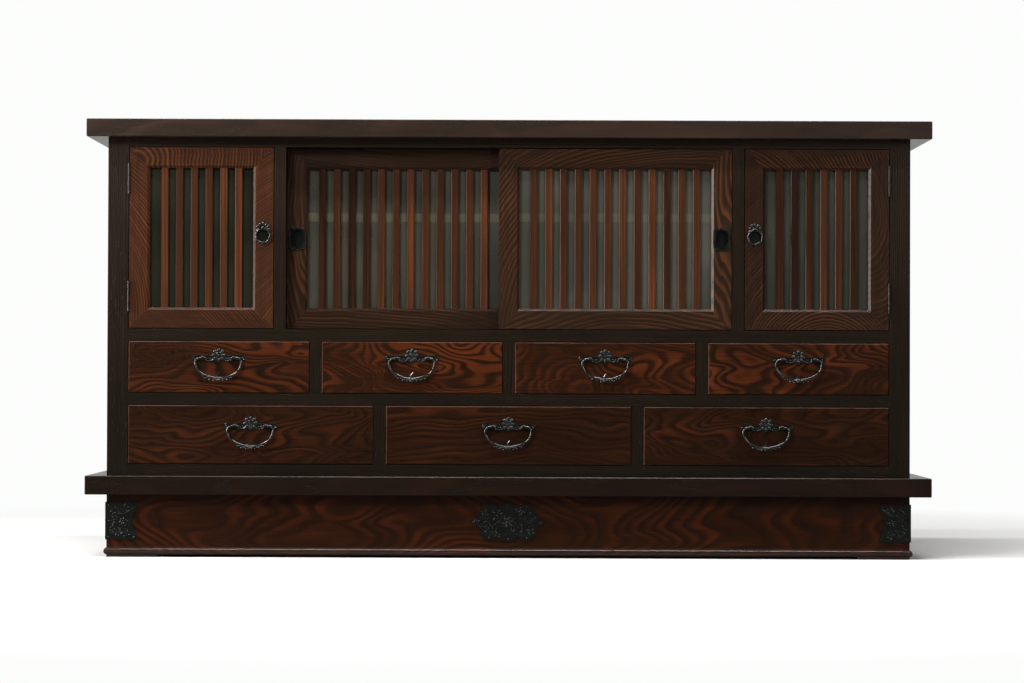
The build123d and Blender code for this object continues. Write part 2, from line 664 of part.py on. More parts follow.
def door_tongues(door):
    """The tongues that run in the sill and the head, each with the number of the rail that carries it."""
    near = door.y_face + (SLIDING_T - GROOVE_W) / 2 + TONGUE_PLAY
    far = near + GROOVE_W - 2 * TONGUE_PLAY
    return [
        (0, (door.left, near, Z_DOORS - GROOVE_DOWN + SEAT_GAP), (door.right, far, door.low)),
        (2, (door.left, near, door.high), (door.right, far, Z_TOP_RAIL + GROOVE_UP - TONGUE_LIFT)),
    ]


# --- Hinges ------------------------------------------------------------------------------------------


def hinge_leaf(side_x, door_side, z_low):
    """One leaf of a butt hinge with its share of the knuckles, bored for the pin."""
    axis_x, axis_y = hinge_axis(side_x)
    low, high = leaf_corners(side_x, door_side, z_low)
    step = HINGE_L / KNUCKLES
    with BuildPart() as leaf:
        block(low, high)
        for i in range(1 if door_side else 0, KNUCKLES, 2):
            z_knuckle = z_low + i * step + HINGE_PLAY / 2
            length = step - HINGE_PLAY
            with BuildSketch(Plane.XY.offset(z_knuckle)) as ring:
                with Locations((axis_x, axis_y)):
                    Circle(KNUCKLE_R)
            extrude(ring.sketch, amount=length)
            block((low[0], axis_y, z_knuckle), (high[0], low[1], z_knuckle + length))
        with BuildSketch(Plane.XY.offset(z_low)) as bore:
            with Locations((axis_x, axis_y)):
                Circle(PIN_R + HINGE_PLAY)
        extrude(bore.sketch, amount=HINGE_L, mode=Mode.SUBTRACT)
    return leaf.part


def hinge_pin(side_x, z_low):
    """A round hinge pin with a low eight-sided head at both ends."""
    axis_x, axis_y = hinge_axis(side_x)
    foot = z_low + HINGE_PLAY / 2 - PIN_HEAD_T
    head = z_low + HINGE_L - HINGE_PLAY / 2 + PIN_HEAD_T
    with BuildPart() as pin:
        with BuildSketch(Plane.XY.offset(foot)):
            with Locations((axis_x, axis_y)):
                Circle(PIN_R)
        extrude(amount=head - foot)
        for z_head in (foot, head - PIN_HEAD_T):
            with BuildSketch(Plane.XY.offset(z_head)):
                with Locations((axis_x, axis_y)):
                    RegularPolygon(PIN_HEAD_R, PIN_HEAD_FLATS)
            extrude(amount=PIN_HEAD_T)
    return pin.part


# --- Drawers -----------------------------------------------------------------------------------------


class Drawer:
    """The sizes and place of one drawer, from which its pieces are made."""

    def __init__(self, bay, z_low, opening_h):
        self.left, self.right = bay[0] + DRAWER_GAP, bay[1] - DRAWER_GAP
        self.mid_x = (self.left + self.right) / 2
        self.low, self.high = z_low + DRAWER_GAP, z_low + opening_h - DRAWER_GAP
        self.run_z, self.side_top = z_low + SEAT_GAP, z_low + opening_h - DRAWER_SIDE_DROP
        self.front_back = FRONT + DRAWER_FRONT_T
        self.end = BOARD_BACK - DRAWER_BACK_GAP
        self.bottom_z = z_low + DRAWER_BOTTOM_RISE
        # The bottom board, let into grooves in the front and the sides
        into_side = DRAWER_SIDE_T - DRAWER_GROOVE
        self.bottom = (
            (self.left + into_side, self.front_back - DRAWER_GROOVE, self.bottom_z),
            (self.right - into_side, self.end - DRAWER_BACK_T, self.bottom_z + DRAWER_BOTTOM_T),
        )

    def front(self):
        """The front board, lapped at its ends for the sides and grooved for the bottom."""
        lap_y = FRONT + DRAWER_LAP
        with BuildPart() as face:
            block((self.left, FRONT, self.low), (self.right, self.front_back, self.high))
            chamfer(face.faces().sort_by(Axis.Y)[0].edges(), DRAWER_ARRIS)
            for edge_x, inward in ((self.left, 1), (self.right, -1)):
                shoulder = edge_x + inward * DRAWER_SIDE_T
                block((edge_x, lap_y, self.low), (shoulder, self.front_back, self.high), mode=Mode.SUBTRACT)
            block(*self.bottom, mode=Mode.SUBTRACT)
        return face.part

    def box(self):
        """The two sides, the back and the bottom."""
        side_y = FRONT + DRAWER_LAP
        left_in, right_in = self.left + DRAWER_SIDE_T, self.right - DRAWER_SIDE_T
        sides = [
            board((edge, side_y, self.run_z), (inner, self.end, self.side_top), [self.bottom])
            for edge, inner in ((self.left, left_in), (self.right, right_in))
        ]
        back_low = self.bottom_z + DRAWER_BOTTOM_T
        back = board((left_in, self.end - DRAWER_BACK_T, back_low), (right_in, self.end, self.side_top))
        return [*sides, back, board(*self.bottom)]


def pull_plate():
    """The back plate of a drawer pull: a bar, a petalled crest, drooping leaves and two eyes."""
    oval = flats_round((0, 0), 1.0, 0, 360, SCROLL_FLATS)
    with BuildPart() as plate:
        with BuildSketch(front_plane(0)):
            with Locations((0, PLATE_RISE)):
                bar = Rectangle(PLATE_W, PLATE_H)
            chamfer(bar.vertices(), PLATE_CORNER)
            for side_x in (-1, 1):
                leaf = [(side_x * (SCROLL_X + x * SCROLL_W / 2), z * SCROLL_H / 2) for x, z in oval]
                Polygon(*leaf, align=None)
            with Locations((0, CREST_RISE)):
                RegularPolygon(CREST_R, CREST_PETALS)
                with PolarLocations(CREST_R, CREST_PETALS):
                    RegularPolygon(PETAL_R, PETAL_FLATS)
        extrude(amount=PLATE_T)
        for side_x in (-1, 1):
            eye(side_x * EYE_X, EYE_W, PIVOT_OUT, EYE_R, ROD_R + ROD_PLAY, EYE_NECK)
    return plate.part


def bail():
    """The drop handle: a forged rod with eight flats, bent to a bow, its ends turned in through the eyes.

    A leaf and a bud swell out of the middle of its grip, and a thin stem leans over them.
    """
    pin_end, shoulder, side = EYE_X - BAIL_PIN_IN, BAIL_SHOULDER_R, BAIL_SIDE_X
    turn = radians(BAIL_SIDE_TURN)
    # The bow is tangent to both sides where these have turned far enough
    join_x = side - BAIL_SIDE_R + BAIL_SIDE_R * cos(turn)
    join_z = -shoulder - BAIL_SIDE_R * sin(turn)
    bow_r = join_x / cos(turn)
    drop = bow_r * (1 - sin(turn)) - join_z
    left = [
        (-pin_end, 0),
        (shoulder - side, 0),
        *flats_round((shoulder - side, -shoulder), shoulder, 90, 90, SHOULDER_FLATS),
        *flats_round((BAIL_SIDE_R - side, -shoulder), BAIL_SIDE_R, 180, BAIL_SIDE_TURN, SIDE_FLATS),
        *flats_round((0, bow_r - drop), bow_r, 180 + BAIL_SIDE_TURN, 90 - BAIL_SIDE_TURN, BOW_FLATS),
    ]
    right = [(-x, z) for x, z in reversed(left[:-1])]
    with BuildPart() as handle:
        with BuildLine(front_plane(-PIVOT_OUT)) as bow:
            Polyline(*left, *right)
        with BuildSketch(Plane(origin=(-pin_end, -PIVOT_OUT, 0), z_dir=(-1, 0, 0))):
            RegularPolygon(ROD_R, ROD_FLATS)
        sweep(path=bow.wires()[0], transition=Transition.RIGHT)
        for side_x in (-1, 1):
            for radius, length, taper in ((LEAF_R, LEAF_L, LEAF_TAPER), (BUD_R, BUD_L, BUD_TAPER)):
                with BuildSketch(Plane(origin=(0, -PIVOT_OUT, -drop), z_dir=(side_x, 0, 0))):
                    RegularPolygon(radius, ROD_FLATS)
                extrude(amount=length, taper=taper)
        lean = radians(STEM_LEAN)
        with BuildSketch(Plane(origin=(-STEM_X, -PIVOT_OUT, -drop), z_dir=(sin(lean), 0, cos(lean)))):
            RegularPolygon(STEM_R, ROD_FLATS)
        extrude(amount=STEM_L, taper=STEM_TAPER)
    return handle.part


# --- Ring pulls and flush pulls ----------------------------------------------------------------------


def rosette():
    """A round back plate behind the ring, with a petalled crown and the eye that the ring hangs from."""
    with BuildPart() as plate:
        with BuildSketch(front_plane(0)):
            with Locations((0, -RING_R)):
                RegularPolygon(RING_PLATE_R, RING_PLATE_FLATS)
            RegularPolygon(CROWN_R, RING_PLATE_FLATS)
            span = 180 + 2 * CROWN_DROOP
            with PolarLocations(CROWN_R, CROWN_PETALS, -CROWN_DROOP, span, endpoint=True):
                RegularPolygon(CROWN_PETAL_R, PETAL_FLATS)
        extrude(amount=ROSETTE_T)
        eye(0, RING_EYE_W, RING_OUT, RING_EYE_R, RING_ROD_R + RING_PLAY, RING_EYE_NECK)
    return plate.part


def ring():
    """A forged ring with eight flats and three knobs at its foot, which hangs with its top in the eye."""
    half_bend = 180 / RING_BENDS
    corner_r = RING_R / cos(radians(half_bend))
    turned = 180 - 2 * half_bend
    bends = flats_round((0, -RING_R), corner_r, 90 + half_bend, turned, RING_BENDS // 2 - 1)
    first = flats_round((0, -RING_R), corner_r, 90, half_bend, 1)
    with BuildPart() as loop:
        with BuildLine(front_plane(-RING_OUT)) as half:
            Polyline((0, 0), *first, *bends, (0, -2 * RING_R))
        with BuildSketch(Plane(origin=(0, -RING_OUT, 0), z_dir=(-1, 0, 0))):
            RegularPolygon(RING_ROD_R, RING_FLATS)
        sweep(path=half.wires()[0], transition=Transition.RIGHT)
        mirror(about=Plane.YZ)
        with BuildSketch(front_plane(-RING_OUT + KNOB_T / 2)):
            with Locations((0, -RING_R)):
                with PolarLocations(RING_R + KNOB_OUT, 3, -90 - KNOB_STEP, 2 * KNOB_STEP, endpoint=True):
                    RegularPolygon(KNOB_R, RING_FLATS)
        extrude(amount=KNOB_T)
    return loop.part


def cup_outline(inset):
    """The flush pull's outline, drawn in by an inset: arched above, pointed below, with cut corners."""
    half_w, half_h = CUP_W / 2 - inset, CUP_H / 2 - inset
    flat_w = half_w - CUP_CORNER + inset / 2
    low_z, top_z = -half_h + CUP_ARCH, half_h - CUP_ARCH
    with BuildLine() as edge:
        Polyline(
            (-flat_w, top_z),
            (-flat_w / 2, half_h - CUP_ARCH / 4),
            (flat_w / 2, half_h - CUP_ARCH / 4),
            (flat_w, top_z),
            (half_w, top_z - CUP_CORNER),
            (half_w, low_z + CUP_CORNER),
            (flat_w, low_z),
            (0, -half_h),
            (-flat_w, low_z),
            (-half_w, low_z + CUP_CORNER),
            (-half_w, top_z - CUP_CORNER),
            close=True,
        )
    make_face(edge.edges())


def flush_pull():
    """A sunk finger pull: a rim on the door's face and a dished cup behind it."""
    with BuildPart() as cup:
        with BuildSketch(front_plane(0)):
            cup_outline(0.0)
        extrude(amount=CUP_RIM_T)
        with BuildSketch(front_plane(0)):
            cup_outline(CUP_RIM)
        extrude(amount=-CUP_DEPTH)
        with BuildSketch(front_plane(-CUP_RIM_T)):
            cup_outline(CUP_RIM + CUP_WALL)
        extrude(amount=-(CUP_DEPTH + CUP_RIM_T - CUP_WALL), taper=CUP_TAPER, mode=Mode.SUBTRACT)
    return cup.part


def with_socket(stile, door, x):
    """The outer stile of a sliding door with the socket that its flush pull sits in."""
    with BuildPart() as socketed:
        add(stile)
        with BuildSketch(front_plane(door.y_face, x, DOOR_MID_Z)):
            cup_outline(CUP_RIM)
        extrude(amount=-CUP_DEPTH, mode=Mode.SUBTRACT)
    return socketed.part


# --- Build and write every sub-part ------------------------------------------------------------------


def write_carcass():
    """The boards, the plinth, the case and what is fixed inside it."""
    write_node("top_board", big_board(Z_TOP, TOP_T))
    write_node("waist_board", big_board(Z_WAIST, WAIST_T))
    plinth = mitred_boards(0.0, PLINTH_T, Z_PLINTH, PLINTH_H)
    bead = mitred_boards(BEAD_PROUD, PLINTH_T, Z_BEAD, BEAD_H, BEAD_ROUND)
    rows = ((FRONT, FRONT + PAD_D), (BACK - PAD_D, BACK))
    pads = [pad(side_x, y_low, y_high) for side_x in (-1, 1) for y_low, y_high in rows]
    write_node("plinth", *plinth, *bead, *pads)
    write_node("plinth_irons", corner_iron(-1), corner_iron(1), centre_iron())
    write_node("case_side_left", *case_side(-1))
    write_node("case_side_right", *case_side(1))
    rails = [front_rail(*span) for span in RAIL_SPANS]
    mullions = [mullion(*line) for line in mullion_lines()]
    write_node("front_frame", *rails, *mullions, door_stop(-1), door_stop(1))
    write_node("back_panel", *back_pieces())
    write_node("cupboard_partitions", *partitions())
    write_node("cupboard_boards", *cupboard_boards())
    write_node("drawer_runners", *drawer_runners())
    fixed = [hinge_leaf(side_x, False, z) for side_x in (-1, 1) for z in hinge_levels()]
    pins = [hinge_pin(side_x, z) for side_x in (-1, 1) for z in hinge_levels()]
    write_node("case_hinge_leaves", *fixed, *pins)


def write_hinged_doors():
    """Each hinged door: frame, lattice, glass, its hinge leaves, and the ring on its inner stile."""
    rose, loop = rosette(), ring()
    for side, side_x in (("left", -1), ("right", 1)):
        door = hinged_door(side_x)
        # The outer stile is the one that the hinge leaves are let into
        stile = 3 if side_x < 0 else 1
        pockets = [(stile, *leaf_pocket(side_x, True, z)) for z in hinge_levels()]
        write_node(f"{side}_door_frame", *door.members(cuts=pockets), *door.glass_beads())
        write_node(f"{side}_door_lattice", *door.lattice())
        write_node(f"{side}_door_glass", door.glass())
        write_node(f"{side}_door_hinge_leaves", *(hinge_leaf(side_x, True, z) for z in hinge_levels()))
        ring_x = side_x * (MIDDLE_X + MULLION_W + HINGED_GAP + DOOR_MEMBER_W / 2)
        ring_z = DOOR_MID_Z + RING_RISE
        write_node(f"{side}_door_rosette", placed(rose, ring_x, FRONT, ring_z))
        write_node(f"{side}_door_ring", placed(loop, ring_x, FRONT, ring_z))


def write_sliding_doors():
    """Each sliding door: frame with its running tongues, lattice, glass and flush pull."""
    cup = flush_pull()
    for side, side_x in (("left", -1), ("right", 1)):
        door = sliding_door(side_x)
        members = door.members(tongues=door_tongues(door))
        pull_x = side_x * (MIDDLE_X - SLIDE_END_GAP - DOOR_MEMBER_W / 2)
        stile = 3 if side_x < 0 else 1
        members[stile] = with_socket(members[stile], door, pull_x)
        write_node(f"{side}_sliding_door_frame", *members, *door.glass_beads())
        write_node(f"{side}_sliding_door_lattice", *door.lattice())
        write_node(f"{side}_sliding_door_glass", door.glass())
        write_node(f"{side}_sliding_door_pull", placed(cup, pull_x, door.y_face, DOOR_MID_Z))


def write_drawers():
    """Each drawer: front, box, and the pull with its plate and bail."""
    plate, handle = pull_plate(), bail()
    rows = (
        ("upper", UPPER_BAYS, Z_UPPER, UPPER_DRAWER_H, PULL_DROP_UPPER),
        ("lower", LOWER_BAYS, Z_LOWER, LOWER_DRAWER_H, PULL_DROP_LOWER),
    )
    for row, bays, z_low, opening_h, pull_drop in rows:
        for number, bay in enumerate(bays, 1):
            drawer = Drawer(bay, z_low, opening_h)
            pivot_z = z_low + opening_h - pull_drop
            name = f"{row}_drawer_{number}"
            write_node(f"{name}_front", drawer.front())
            write_node(f"{name}_box", *drawer.box())
            write_node(f"{name}_pull_plate", placed(plate, drawer.mid_x, FRONT, pivot_z))
            write_node(f"{name}_bail", placed(handle, drawer.mid_x, FRONT, pivot_z))


os.makedirs("parts", exist_ok=True)
write_carcass()
write_hinged_doors()
write_sliding_doors()
write_drawers()
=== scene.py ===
"""Dresses the mizuya kitchen cabinet: figured zelkova, dark case wood, forged iron and window glass.

The frame's boards, doors and drawers keep their own meshes and get finishes. The ironwork is modelled here: bails,
rings, the relief of the pull plates and rosettes, the beaded faces of the flush pulls and the scrollwork of the
plinth irons. The cabinet's front faces -Y. Lengths are in metres, except the ironwork's, which are in millimetres.
"""

import json
import logging
from dataclasses import astuple, dataclass, replace
from enum import Enum
from math import cos, degrees, hypot, pi, radians, sin, sqrt
from random import Random
from typing import Callable, Iterable, NamedTuple, Sequence

import bpy
from mathutils import Matrix, Vector

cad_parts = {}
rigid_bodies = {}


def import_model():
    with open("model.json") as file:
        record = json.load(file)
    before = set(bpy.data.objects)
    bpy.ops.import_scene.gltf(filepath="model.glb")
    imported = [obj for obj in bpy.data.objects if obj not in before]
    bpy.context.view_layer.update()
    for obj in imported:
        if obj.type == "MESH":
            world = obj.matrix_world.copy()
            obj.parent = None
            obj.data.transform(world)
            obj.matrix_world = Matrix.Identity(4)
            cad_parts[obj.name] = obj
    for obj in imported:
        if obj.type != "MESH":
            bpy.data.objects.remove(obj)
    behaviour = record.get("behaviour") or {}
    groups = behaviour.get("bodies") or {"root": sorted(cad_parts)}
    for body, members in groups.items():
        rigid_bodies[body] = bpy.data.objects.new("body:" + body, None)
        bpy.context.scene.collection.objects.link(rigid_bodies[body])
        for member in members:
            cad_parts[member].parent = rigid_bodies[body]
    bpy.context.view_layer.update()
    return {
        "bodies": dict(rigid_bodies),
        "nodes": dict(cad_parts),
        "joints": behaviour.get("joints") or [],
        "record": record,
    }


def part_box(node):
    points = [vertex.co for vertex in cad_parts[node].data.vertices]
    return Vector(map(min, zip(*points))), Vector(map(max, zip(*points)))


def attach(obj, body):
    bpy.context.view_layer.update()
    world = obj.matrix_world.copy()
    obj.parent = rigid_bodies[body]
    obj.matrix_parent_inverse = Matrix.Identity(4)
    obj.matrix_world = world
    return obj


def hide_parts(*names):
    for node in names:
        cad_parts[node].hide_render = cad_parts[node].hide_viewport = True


LOG = logging.getLogger("mizuya")
MM = 0.001

Colour = tuple[float, float, float]
Point = tuple[float, float]
Spot = tuple[float, float, float]
Piece = bpy.types.Object
Finish = bpy.types.Material
Socket = bpy.types.NodeSocket


def srgb(red: int, green: int, blue: int) -> Colour:
    """A screen colour, 0 to 255, as the linear colour that shaders use."""
    return tuple((c / 255 / 12.92) if c <= 10 else ((c / 255 + 0.055) / 1.055) ** 2.4 for c in (red, green, blue))


def mm(*lengths: float) -> tuple[float, ...]:
    """Millimetres as metres."""
    return tuple(length * MM for length in lengths)


def around(middle: Point, radius: float, turn: float) -> Point:
    """The point at a radius from a middle, at a turn in degrees against the clock."""
    return middle[0] + radius * cos(radians(turn)), middle[1] + radius * sin(radians(turn))


# --- Shader bench ---


def operator(operation: str, swapped: bool = False) -> Callable[["Value", "Value | float"], "Value"]:
    """Makes an operator that adds a Math node.

    Args:
        operation: The node's operation.
        swapped: Whether the other operand comes first, as it does in a reflected operator.

    Returns:
        The operator.
    """

    def act(self: "Value", other: "Value | float") -> "Value":
        """The outcome of the Math node."""
        return self.board.math(operation, *((other, self) if swapped else (self, other)))

    return act


class Value:
    """A number carried by a shader socket, which can be used in plain arithmetic. Comparing gives 1 or 0."""

    def __init__(self, board: "NodeBoard", socket: Socket) -> None:
        """Keeps the socket and the node board that it belongs to."""
        self.board = board
        self.socket = socket

    __add__ = __radd__ = operator("ADD")
    __mul__ = __rmul__ = operator("MULTIPLY")
    __sub__, __rsub__ = operator("SUBTRACT"), operator("SUBTRACT", swapped=True)
    __truediv__ = operator("DIVIDE")
    __gt__, __lt__ = operator("GREATER_THAN"), operator("LESS_THAN")


Amount = Value | float
Paint = Socket | Colour


class NodeBoard:
    """The node tree of one material or of the world, with short ways of adding nodes to it."""

    def __init__(self, owner: Finish | bpy.types.World, place: str = "Object") -> None:
        """Empties the node tree.

        Args:
            owner: The material or world.
            place: The kind of coordinates that x, y and z are.
        """
        self.owner = owner
        owner.use_nodes = True
        self.tree = owner.node_tree
        self.tree.nodes.clear()
        split = self.node("ShaderNodeSeparateXYZ", {}, {0: self.node("ShaderNodeTexCoord").outputs[place]})
        self.x, self.y, self.z = (Value(self, socket) for socket in split.outputs)

    def node(self, kind: str, settings: dict | None = None, sockets: dict | None = None) -> bpy.types.Node:
        """Adds a node.

        Args:
            kind: The node's type.
            settings: Its properties; "stops" holds a ramp's positions and colours.
            sockets: A value, a colour or a link for each input, by name or number.

        Returns:
            The node.
        """
        made = self.tree.nodes.new(kind)
        for name, setting in (settings or {}).items():
            if name != "stops":
                setattr(made, name, setting)
                continue
            elements = made.color_ramp.elements
            while len(elements) < len(setting):
                elements.new(1.0)
            for element, (position, colour) in zip(elements, setting):
                element.position = position
                element.color = (*colour, 1.0)
        for key, value in (sockets or {}).items():
            if isinstance(value, Value):
                value = value.socket
            if isinstance(value, Socket):
                self.tree.links.new(value, made.inputs[key])
            else:
                made.inputs[key].default_value = (*value, 1.0) if isinstance(value, tuple) else value
        return made

    def value(self, kind: str, settings: dict, sockets: dict, output: int | str = 0) -> Value:
        """Adds a node and gives one of its outputs as a value."""
        return Value(self, self.node(kind, settings, sockets).outputs[output])

    def math(self, operation: str, *operands: Amount) -> Value:
        """A Math node on the operands, in their order."""
        return self.value("ShaderNodeMath", {"operation": operation}, dict(enumerate(operands)))

    def point(self, x: Amount, y: Amount, z: Amount) -> Socket:
        """A vector from three numbers."""
        return self.node("ShaderNodeCombineXYZ", {}, {0: x, 1: y, 2: z}).outputs[0]

    def noise(self, at: Socket, detail: float = 2.0, warp: float = 0.0, scale: float = 1.0) -> Value:
        """Smooth noise from 0 to 1, with so many finer layers, so much distortion and so fine a scale."""
        sockets = {"Vector": at, "Scale": scale, "Detail": detail, "Distortion": warp}
        return self.value("ShaderNodeTexNoise", {}, sockets)

    def steady(self, value: Value) -> Value:
        """A fixed random number from 0 to 1 for each whole number."""
        return self.value("ShaderNodeTexWhiteNoise", {"noise_dimensions": "1D"}, {"W": value}, "Value")

    def ramp(self, value: Value, *stops: tuple[float, Colour]) -> Socket:
        """A colour ramp."""
        return self.node("ShaderNodeValToRGB", {"stops": stops}, {0: value}).outputs[0]

    def level(self, value: Value, low: float, high: float, to_low: float = 0.0, to_high: float = 1.0) -> Value:
        """The value stretched from one range to another, smoothly and held at its ends."""
        sockets = {"Value": value, "From Min": low, "From Max": high, "To Min": to_low, "To Max": to_high}
        return self.value("ShaderNodeMapRange", {"interpolation_type": "SMOOTHSTEP"}, sockets)

    def mix(self, part: Amount, first: Paint, second: Paint) -> Socket:
        """A mix of two colours, all of the second where the part is 1."""
        return self.node("ShaderNodeMix", {"data_type": "RGBA"}, {0: part, 6: first, 7: second}).outputs[2]

    def rays(self) -> tuple[Value, Value]:
        """Where the camera sees the surface straight, and where a polished surface does."""
        path = self.node("ShaderNodeLightPath")
        return Value(self, path.outputs["Is Camera Ray"]), Value(self, path.outputs["Is Glossy Ray"])

    def glow(self, kind: str, colour: Paint, strength: float) -> Socket:
        """A shader that sends out light of a colour."""
        return self.node(kind, {}, {"Color": colour, "Strength": strength}).outputs[0]

    def blend(self, part: Value, first: Socket, second: Socket) -> Socket:
        """A mix of two shaders, all of the second where the part is 1."""
        return self.node("ShaderNodeMixShader", {}, {0: part, 1: first, 2: second}).outputs[0]

    def surface(self, height: Value, depth: float, **sockets: Amount | Paint) -> Socket:
        """A Principled shader.

        Args:
            height: The relief that feeds the bump.
            depth: How deep that relief is, in metres.
            sockets: The shader's inputs, with "_" for a space in each name.

        Returns:
            The shader's socket.
        """
        bump = self.node("ShaderNodeBump", {}, {"Strength": 1.0, "Distance": depth, "Height": height})
        named = {name.replace("_", " "): value for name, value in sockets.items()}
        return self.node("ShaderNodeBsdfPrincipled", {}, {"Normal": bump.outputs[0], **named}).outputs[0]

    def close(self, shader: Socket) -> Finish | bpy.types.World:
        """Ends the material or world in a shader.

        Args:
            shader: The shader.

        Returns:
            The material or world.
        """
        kind = "World" if isinstance(self.owner, bpy.types.World) else "Material"
        self.node(f"ShaderNodeOutput{kind}", {}, {0: shader})
        return self.owner


# --- Wood ---


class Run(Enum):
    """Which way a board lies, as its axes: along the grain, across the face, and through the thickness."""

    ACROSS = (0, 2, 1)
    UPRIGHT = (2, 0, 1)
    DEEP = (1, 2, 0)
    FLAT = (0, 1, 2)


@dataclass(frozen=True)
class Figure:
    """How a board's rings run: where they are centred, how far they are drawn out, how far they swirl, in metres."""

    along: Amount
    across: Amount
    stretch: Amount
    swing: Amount = 14.0 * MM


@dataclass(frozen=True)
class WoodTone:
    """The colours, the rings and the sheen of one wood.

    A ring is so many metres wide. Band says at which parts of it the late wood starts, is full, and ends.
    """

    dark: Colour
    middle: Colour
    light: Colour
    ring: float
    swirl: float = 4.0
    waver: float = 0.30
    pull: float = 1.0
    band: Spot = (0.22, 0.72, 0.84)
    contrast: float = 1.0
    roughness: float = 0.26
    specular: float = 0.14


def wood(dark: Colour, middle: Colour, light: Colour, ring: float, **rest: float | Spot) -> WoodTone:
    """A wood from three screen colours, the width of its rings in millimetres, and the rest of its looks."""
    return WoodTone(srgb(*dark), srgb(*middle), srgb(*light), ring * MM, **rest)


FINE = (0.34, 0.78, 0.90)
BROAD = (0.0, 0.55, 0.74)
# The colour of rubbed arrises, used both for wear and for painted highlights on the edges
ARRIS_WEAR_AND_HIGHLIGHT = srgb(116, 84, 66)
ZELKOVA = wood((34, 17, 8), (60, 34, 19), (118, 62, 31), 5.8, waver=0.46, band=FINE, contrast=0.54)
ZELKOVA_CALM = wood((25, 14, 8), (44, 27, 17), (92, 50, 28), 6.0, waver=0.42, band=FINE, contrast=0.58)
ZELKOVA_SLIDING = wood((23, 14, 8), (46, 30, 19), (92, 53, 29), 7.5, waver=0.45, contrast=0.52)
ZELKOVA_BARS = wood((34, 17, 9), (68, 38, 21), (124, 66, 33), 3.0, waver=0.1, contrast=0.25)
ZELKOVA_DRAWER = replace(
    wood((17, 8, 2), (42, 20, 8), (96, 44, 18), 8.6, swirl=6.0, waver=0.12, pull=0.6, band=BROAD),
    contrast=0.58,
    specular=0.10,
)
ZELKOVA_LOWER = replace(ZELKOVA_DRAWER, light=srgb(84, 38, 13), contrast=0.50)
ZELKOVA_PLINTH = replace(
    wood((20, 9, 2), (42, 19, 6), (88, 36, 12), 7.6, swirl=3.2, waver=0.14, pull=0.4, band=BROAD),
    contrast=0.46,
    specular=0.10,
)
CASE_WOOD = wood((17, 12, 6), (29, 21, 13), (48, 35, 25), 5.0, contrast=0.5)
TOP_WOOD = wood((28, 19, 14), (44, 33, 27), (66, 49, 40), 6.0, contrast=0.3)
WAIST_WOOD = wood((16, 8, 4), (26, 16, 8), (44, 24, 12), 6.0, contrast=0.35)
INNER_WOOD = wood((150, 116, 78), (178, 144, 102), (196, 166, 124), 4.0, contrast=0.5, roughness=0.62)


class WoodField:
    """The rings, fibres and pores of a board, worked out in the solid so that all its faces agree.

    How fine the rings' waver, the fibres, the clouds and the pores are is given along the grain and across it. The
    pith lies behind the face, and the rings lean through the thickness. Wide and narrow years take turns at the pace
    of years, by year_spread rings.
    """

    waver = (18.0, 60.0)
    fibre = (9.0, 420.0)
    cloud = (3.5, 12.0)
    pore = (90.0, 1900.0)
    pith = 12.0 * MM
    lean = 0.35
    years = 30.0
    year_spread = 2.2
    relief = 0.15 * MM
    polish = 0.16

    def __init__(self, board: NodeBoard, along: Value, across: Value, depth: Value, seed: Amount) -> None:
        """Keeps the wooden board's own directions, and the seed that sets it apart from its neighbours."""
        self.board = board
        self.along, self.across, self.depth, self.seed = along, across, depth, seed

    def stretched(self, along: float, across: float) -> Socket:
        """A point for noise that is scaled differently along and across the grain."""
        level = self.across * across + self.seed * 0.37
        return self.board.point(self.along * along + self.seed, level, self.depth * across)

    def rings(self, tone: WoodTone, figure: Figure) -> Value:
        """Numbers the growth rings.

        Args:
            tone: The wood.
            figure: How its rings run.

        Returns:
            A running number, one for each ring.
        """
        board = self.board
        slow = board.noise(self.stretched(tone.swirl, tone.swirl * 2.8), 0.6, 0.5) - 0.5
        quick = board.noise(self.stretched(*self.waver)) - 0.5
        u = (self.along - figure.along) / figure.stretch
        v = self.across - figure.across
        w = self.depth * self.lean + self.pith
        radius = board.math("SQRT", u * u + v * v + w * w) * tone.pull + slow * figure.swing
        pace = board.noise(board.point(radius * self.years, self.seed, 0.0), 1.0) - 0.5
        return radius / tone.ring + pace * self.year_spread + quick * tone.waver

    def finish(
        self, tone: WoodTone, rings: Value, tint: Amount = 0.5, worn: Amount = 0.0, coat: Amount = 0.0
    ) -> Finish:
        """Builds the finished wood.

        Args:
            tone: Its colours and sheen.
            rings: The running number of each ring.
            tint: How light the board is, from 0 to 1.
            worn: How much the stain is rubbed off, and how much the edges are painted lighter as a highlight, from 0
                to 1.
            coat: How much hard polish lies on top, from 0 to 1.

        Returns:
            The material.
        """
        board = self.board
        part, whole = board.math("FRACT", rings), board.math("FLOOR", rings)
        # Each ring lightens slowly towards its dense late wood and drops at once to the next one's dark pores
        rise, full, fall = tone.band
        late = board.level(part, rise, full) - board.level(part, fall, 1.0)
        varied = board.steady(whole + self.seed) - 0.5
        fibre = board.noise(self.stretched(*self.fibre), 3.0)
        cloud = board.noise(self.stretched(*self.cloud))
        strength = board.level(cloud, 0.34, 0.66, 0.30, 0.85) * tone.contrast
        # The late wood, the year, the fibres, the clouds and the board's own tint, round a middling lightness
        light = 0.40 + (late - 0.45) * strength + varied * (0.26 * tone.contrast)
        light = light + (fibre - 0.5) * 0.42 + (cloud - 0.5) * 0.40 + (tint - 0.5) * 0.8
        pore = board.noise(self.stretched(*self.pore), 1.0)
        pores = board.level(pore, 0.60, 0.70) * board.level(part, 0.45, 0.05)
        stained = board.ramp(light, (0.0, tone.dark), (0.45, tone.middle), (1.0, tone.light))
        shader = board.surface(
            fibre * 0.4 - pores * 0.9 + late * 0.25,
            self.relief,
            Base_Color=board.mix(worn, board.mix(pores * 0.5, stained, tone.dark), ARRIS_WEAR_AND_HIGHLIGHT),
            Roughness=tone.roughness + fibre * 0.12 + pores * 0.12,
            Specular_IOR_Level=tone.specular,
            Coat_Weight=coat,
            Coat_Roughness=self.polish,
        )
        return board.close(shader)


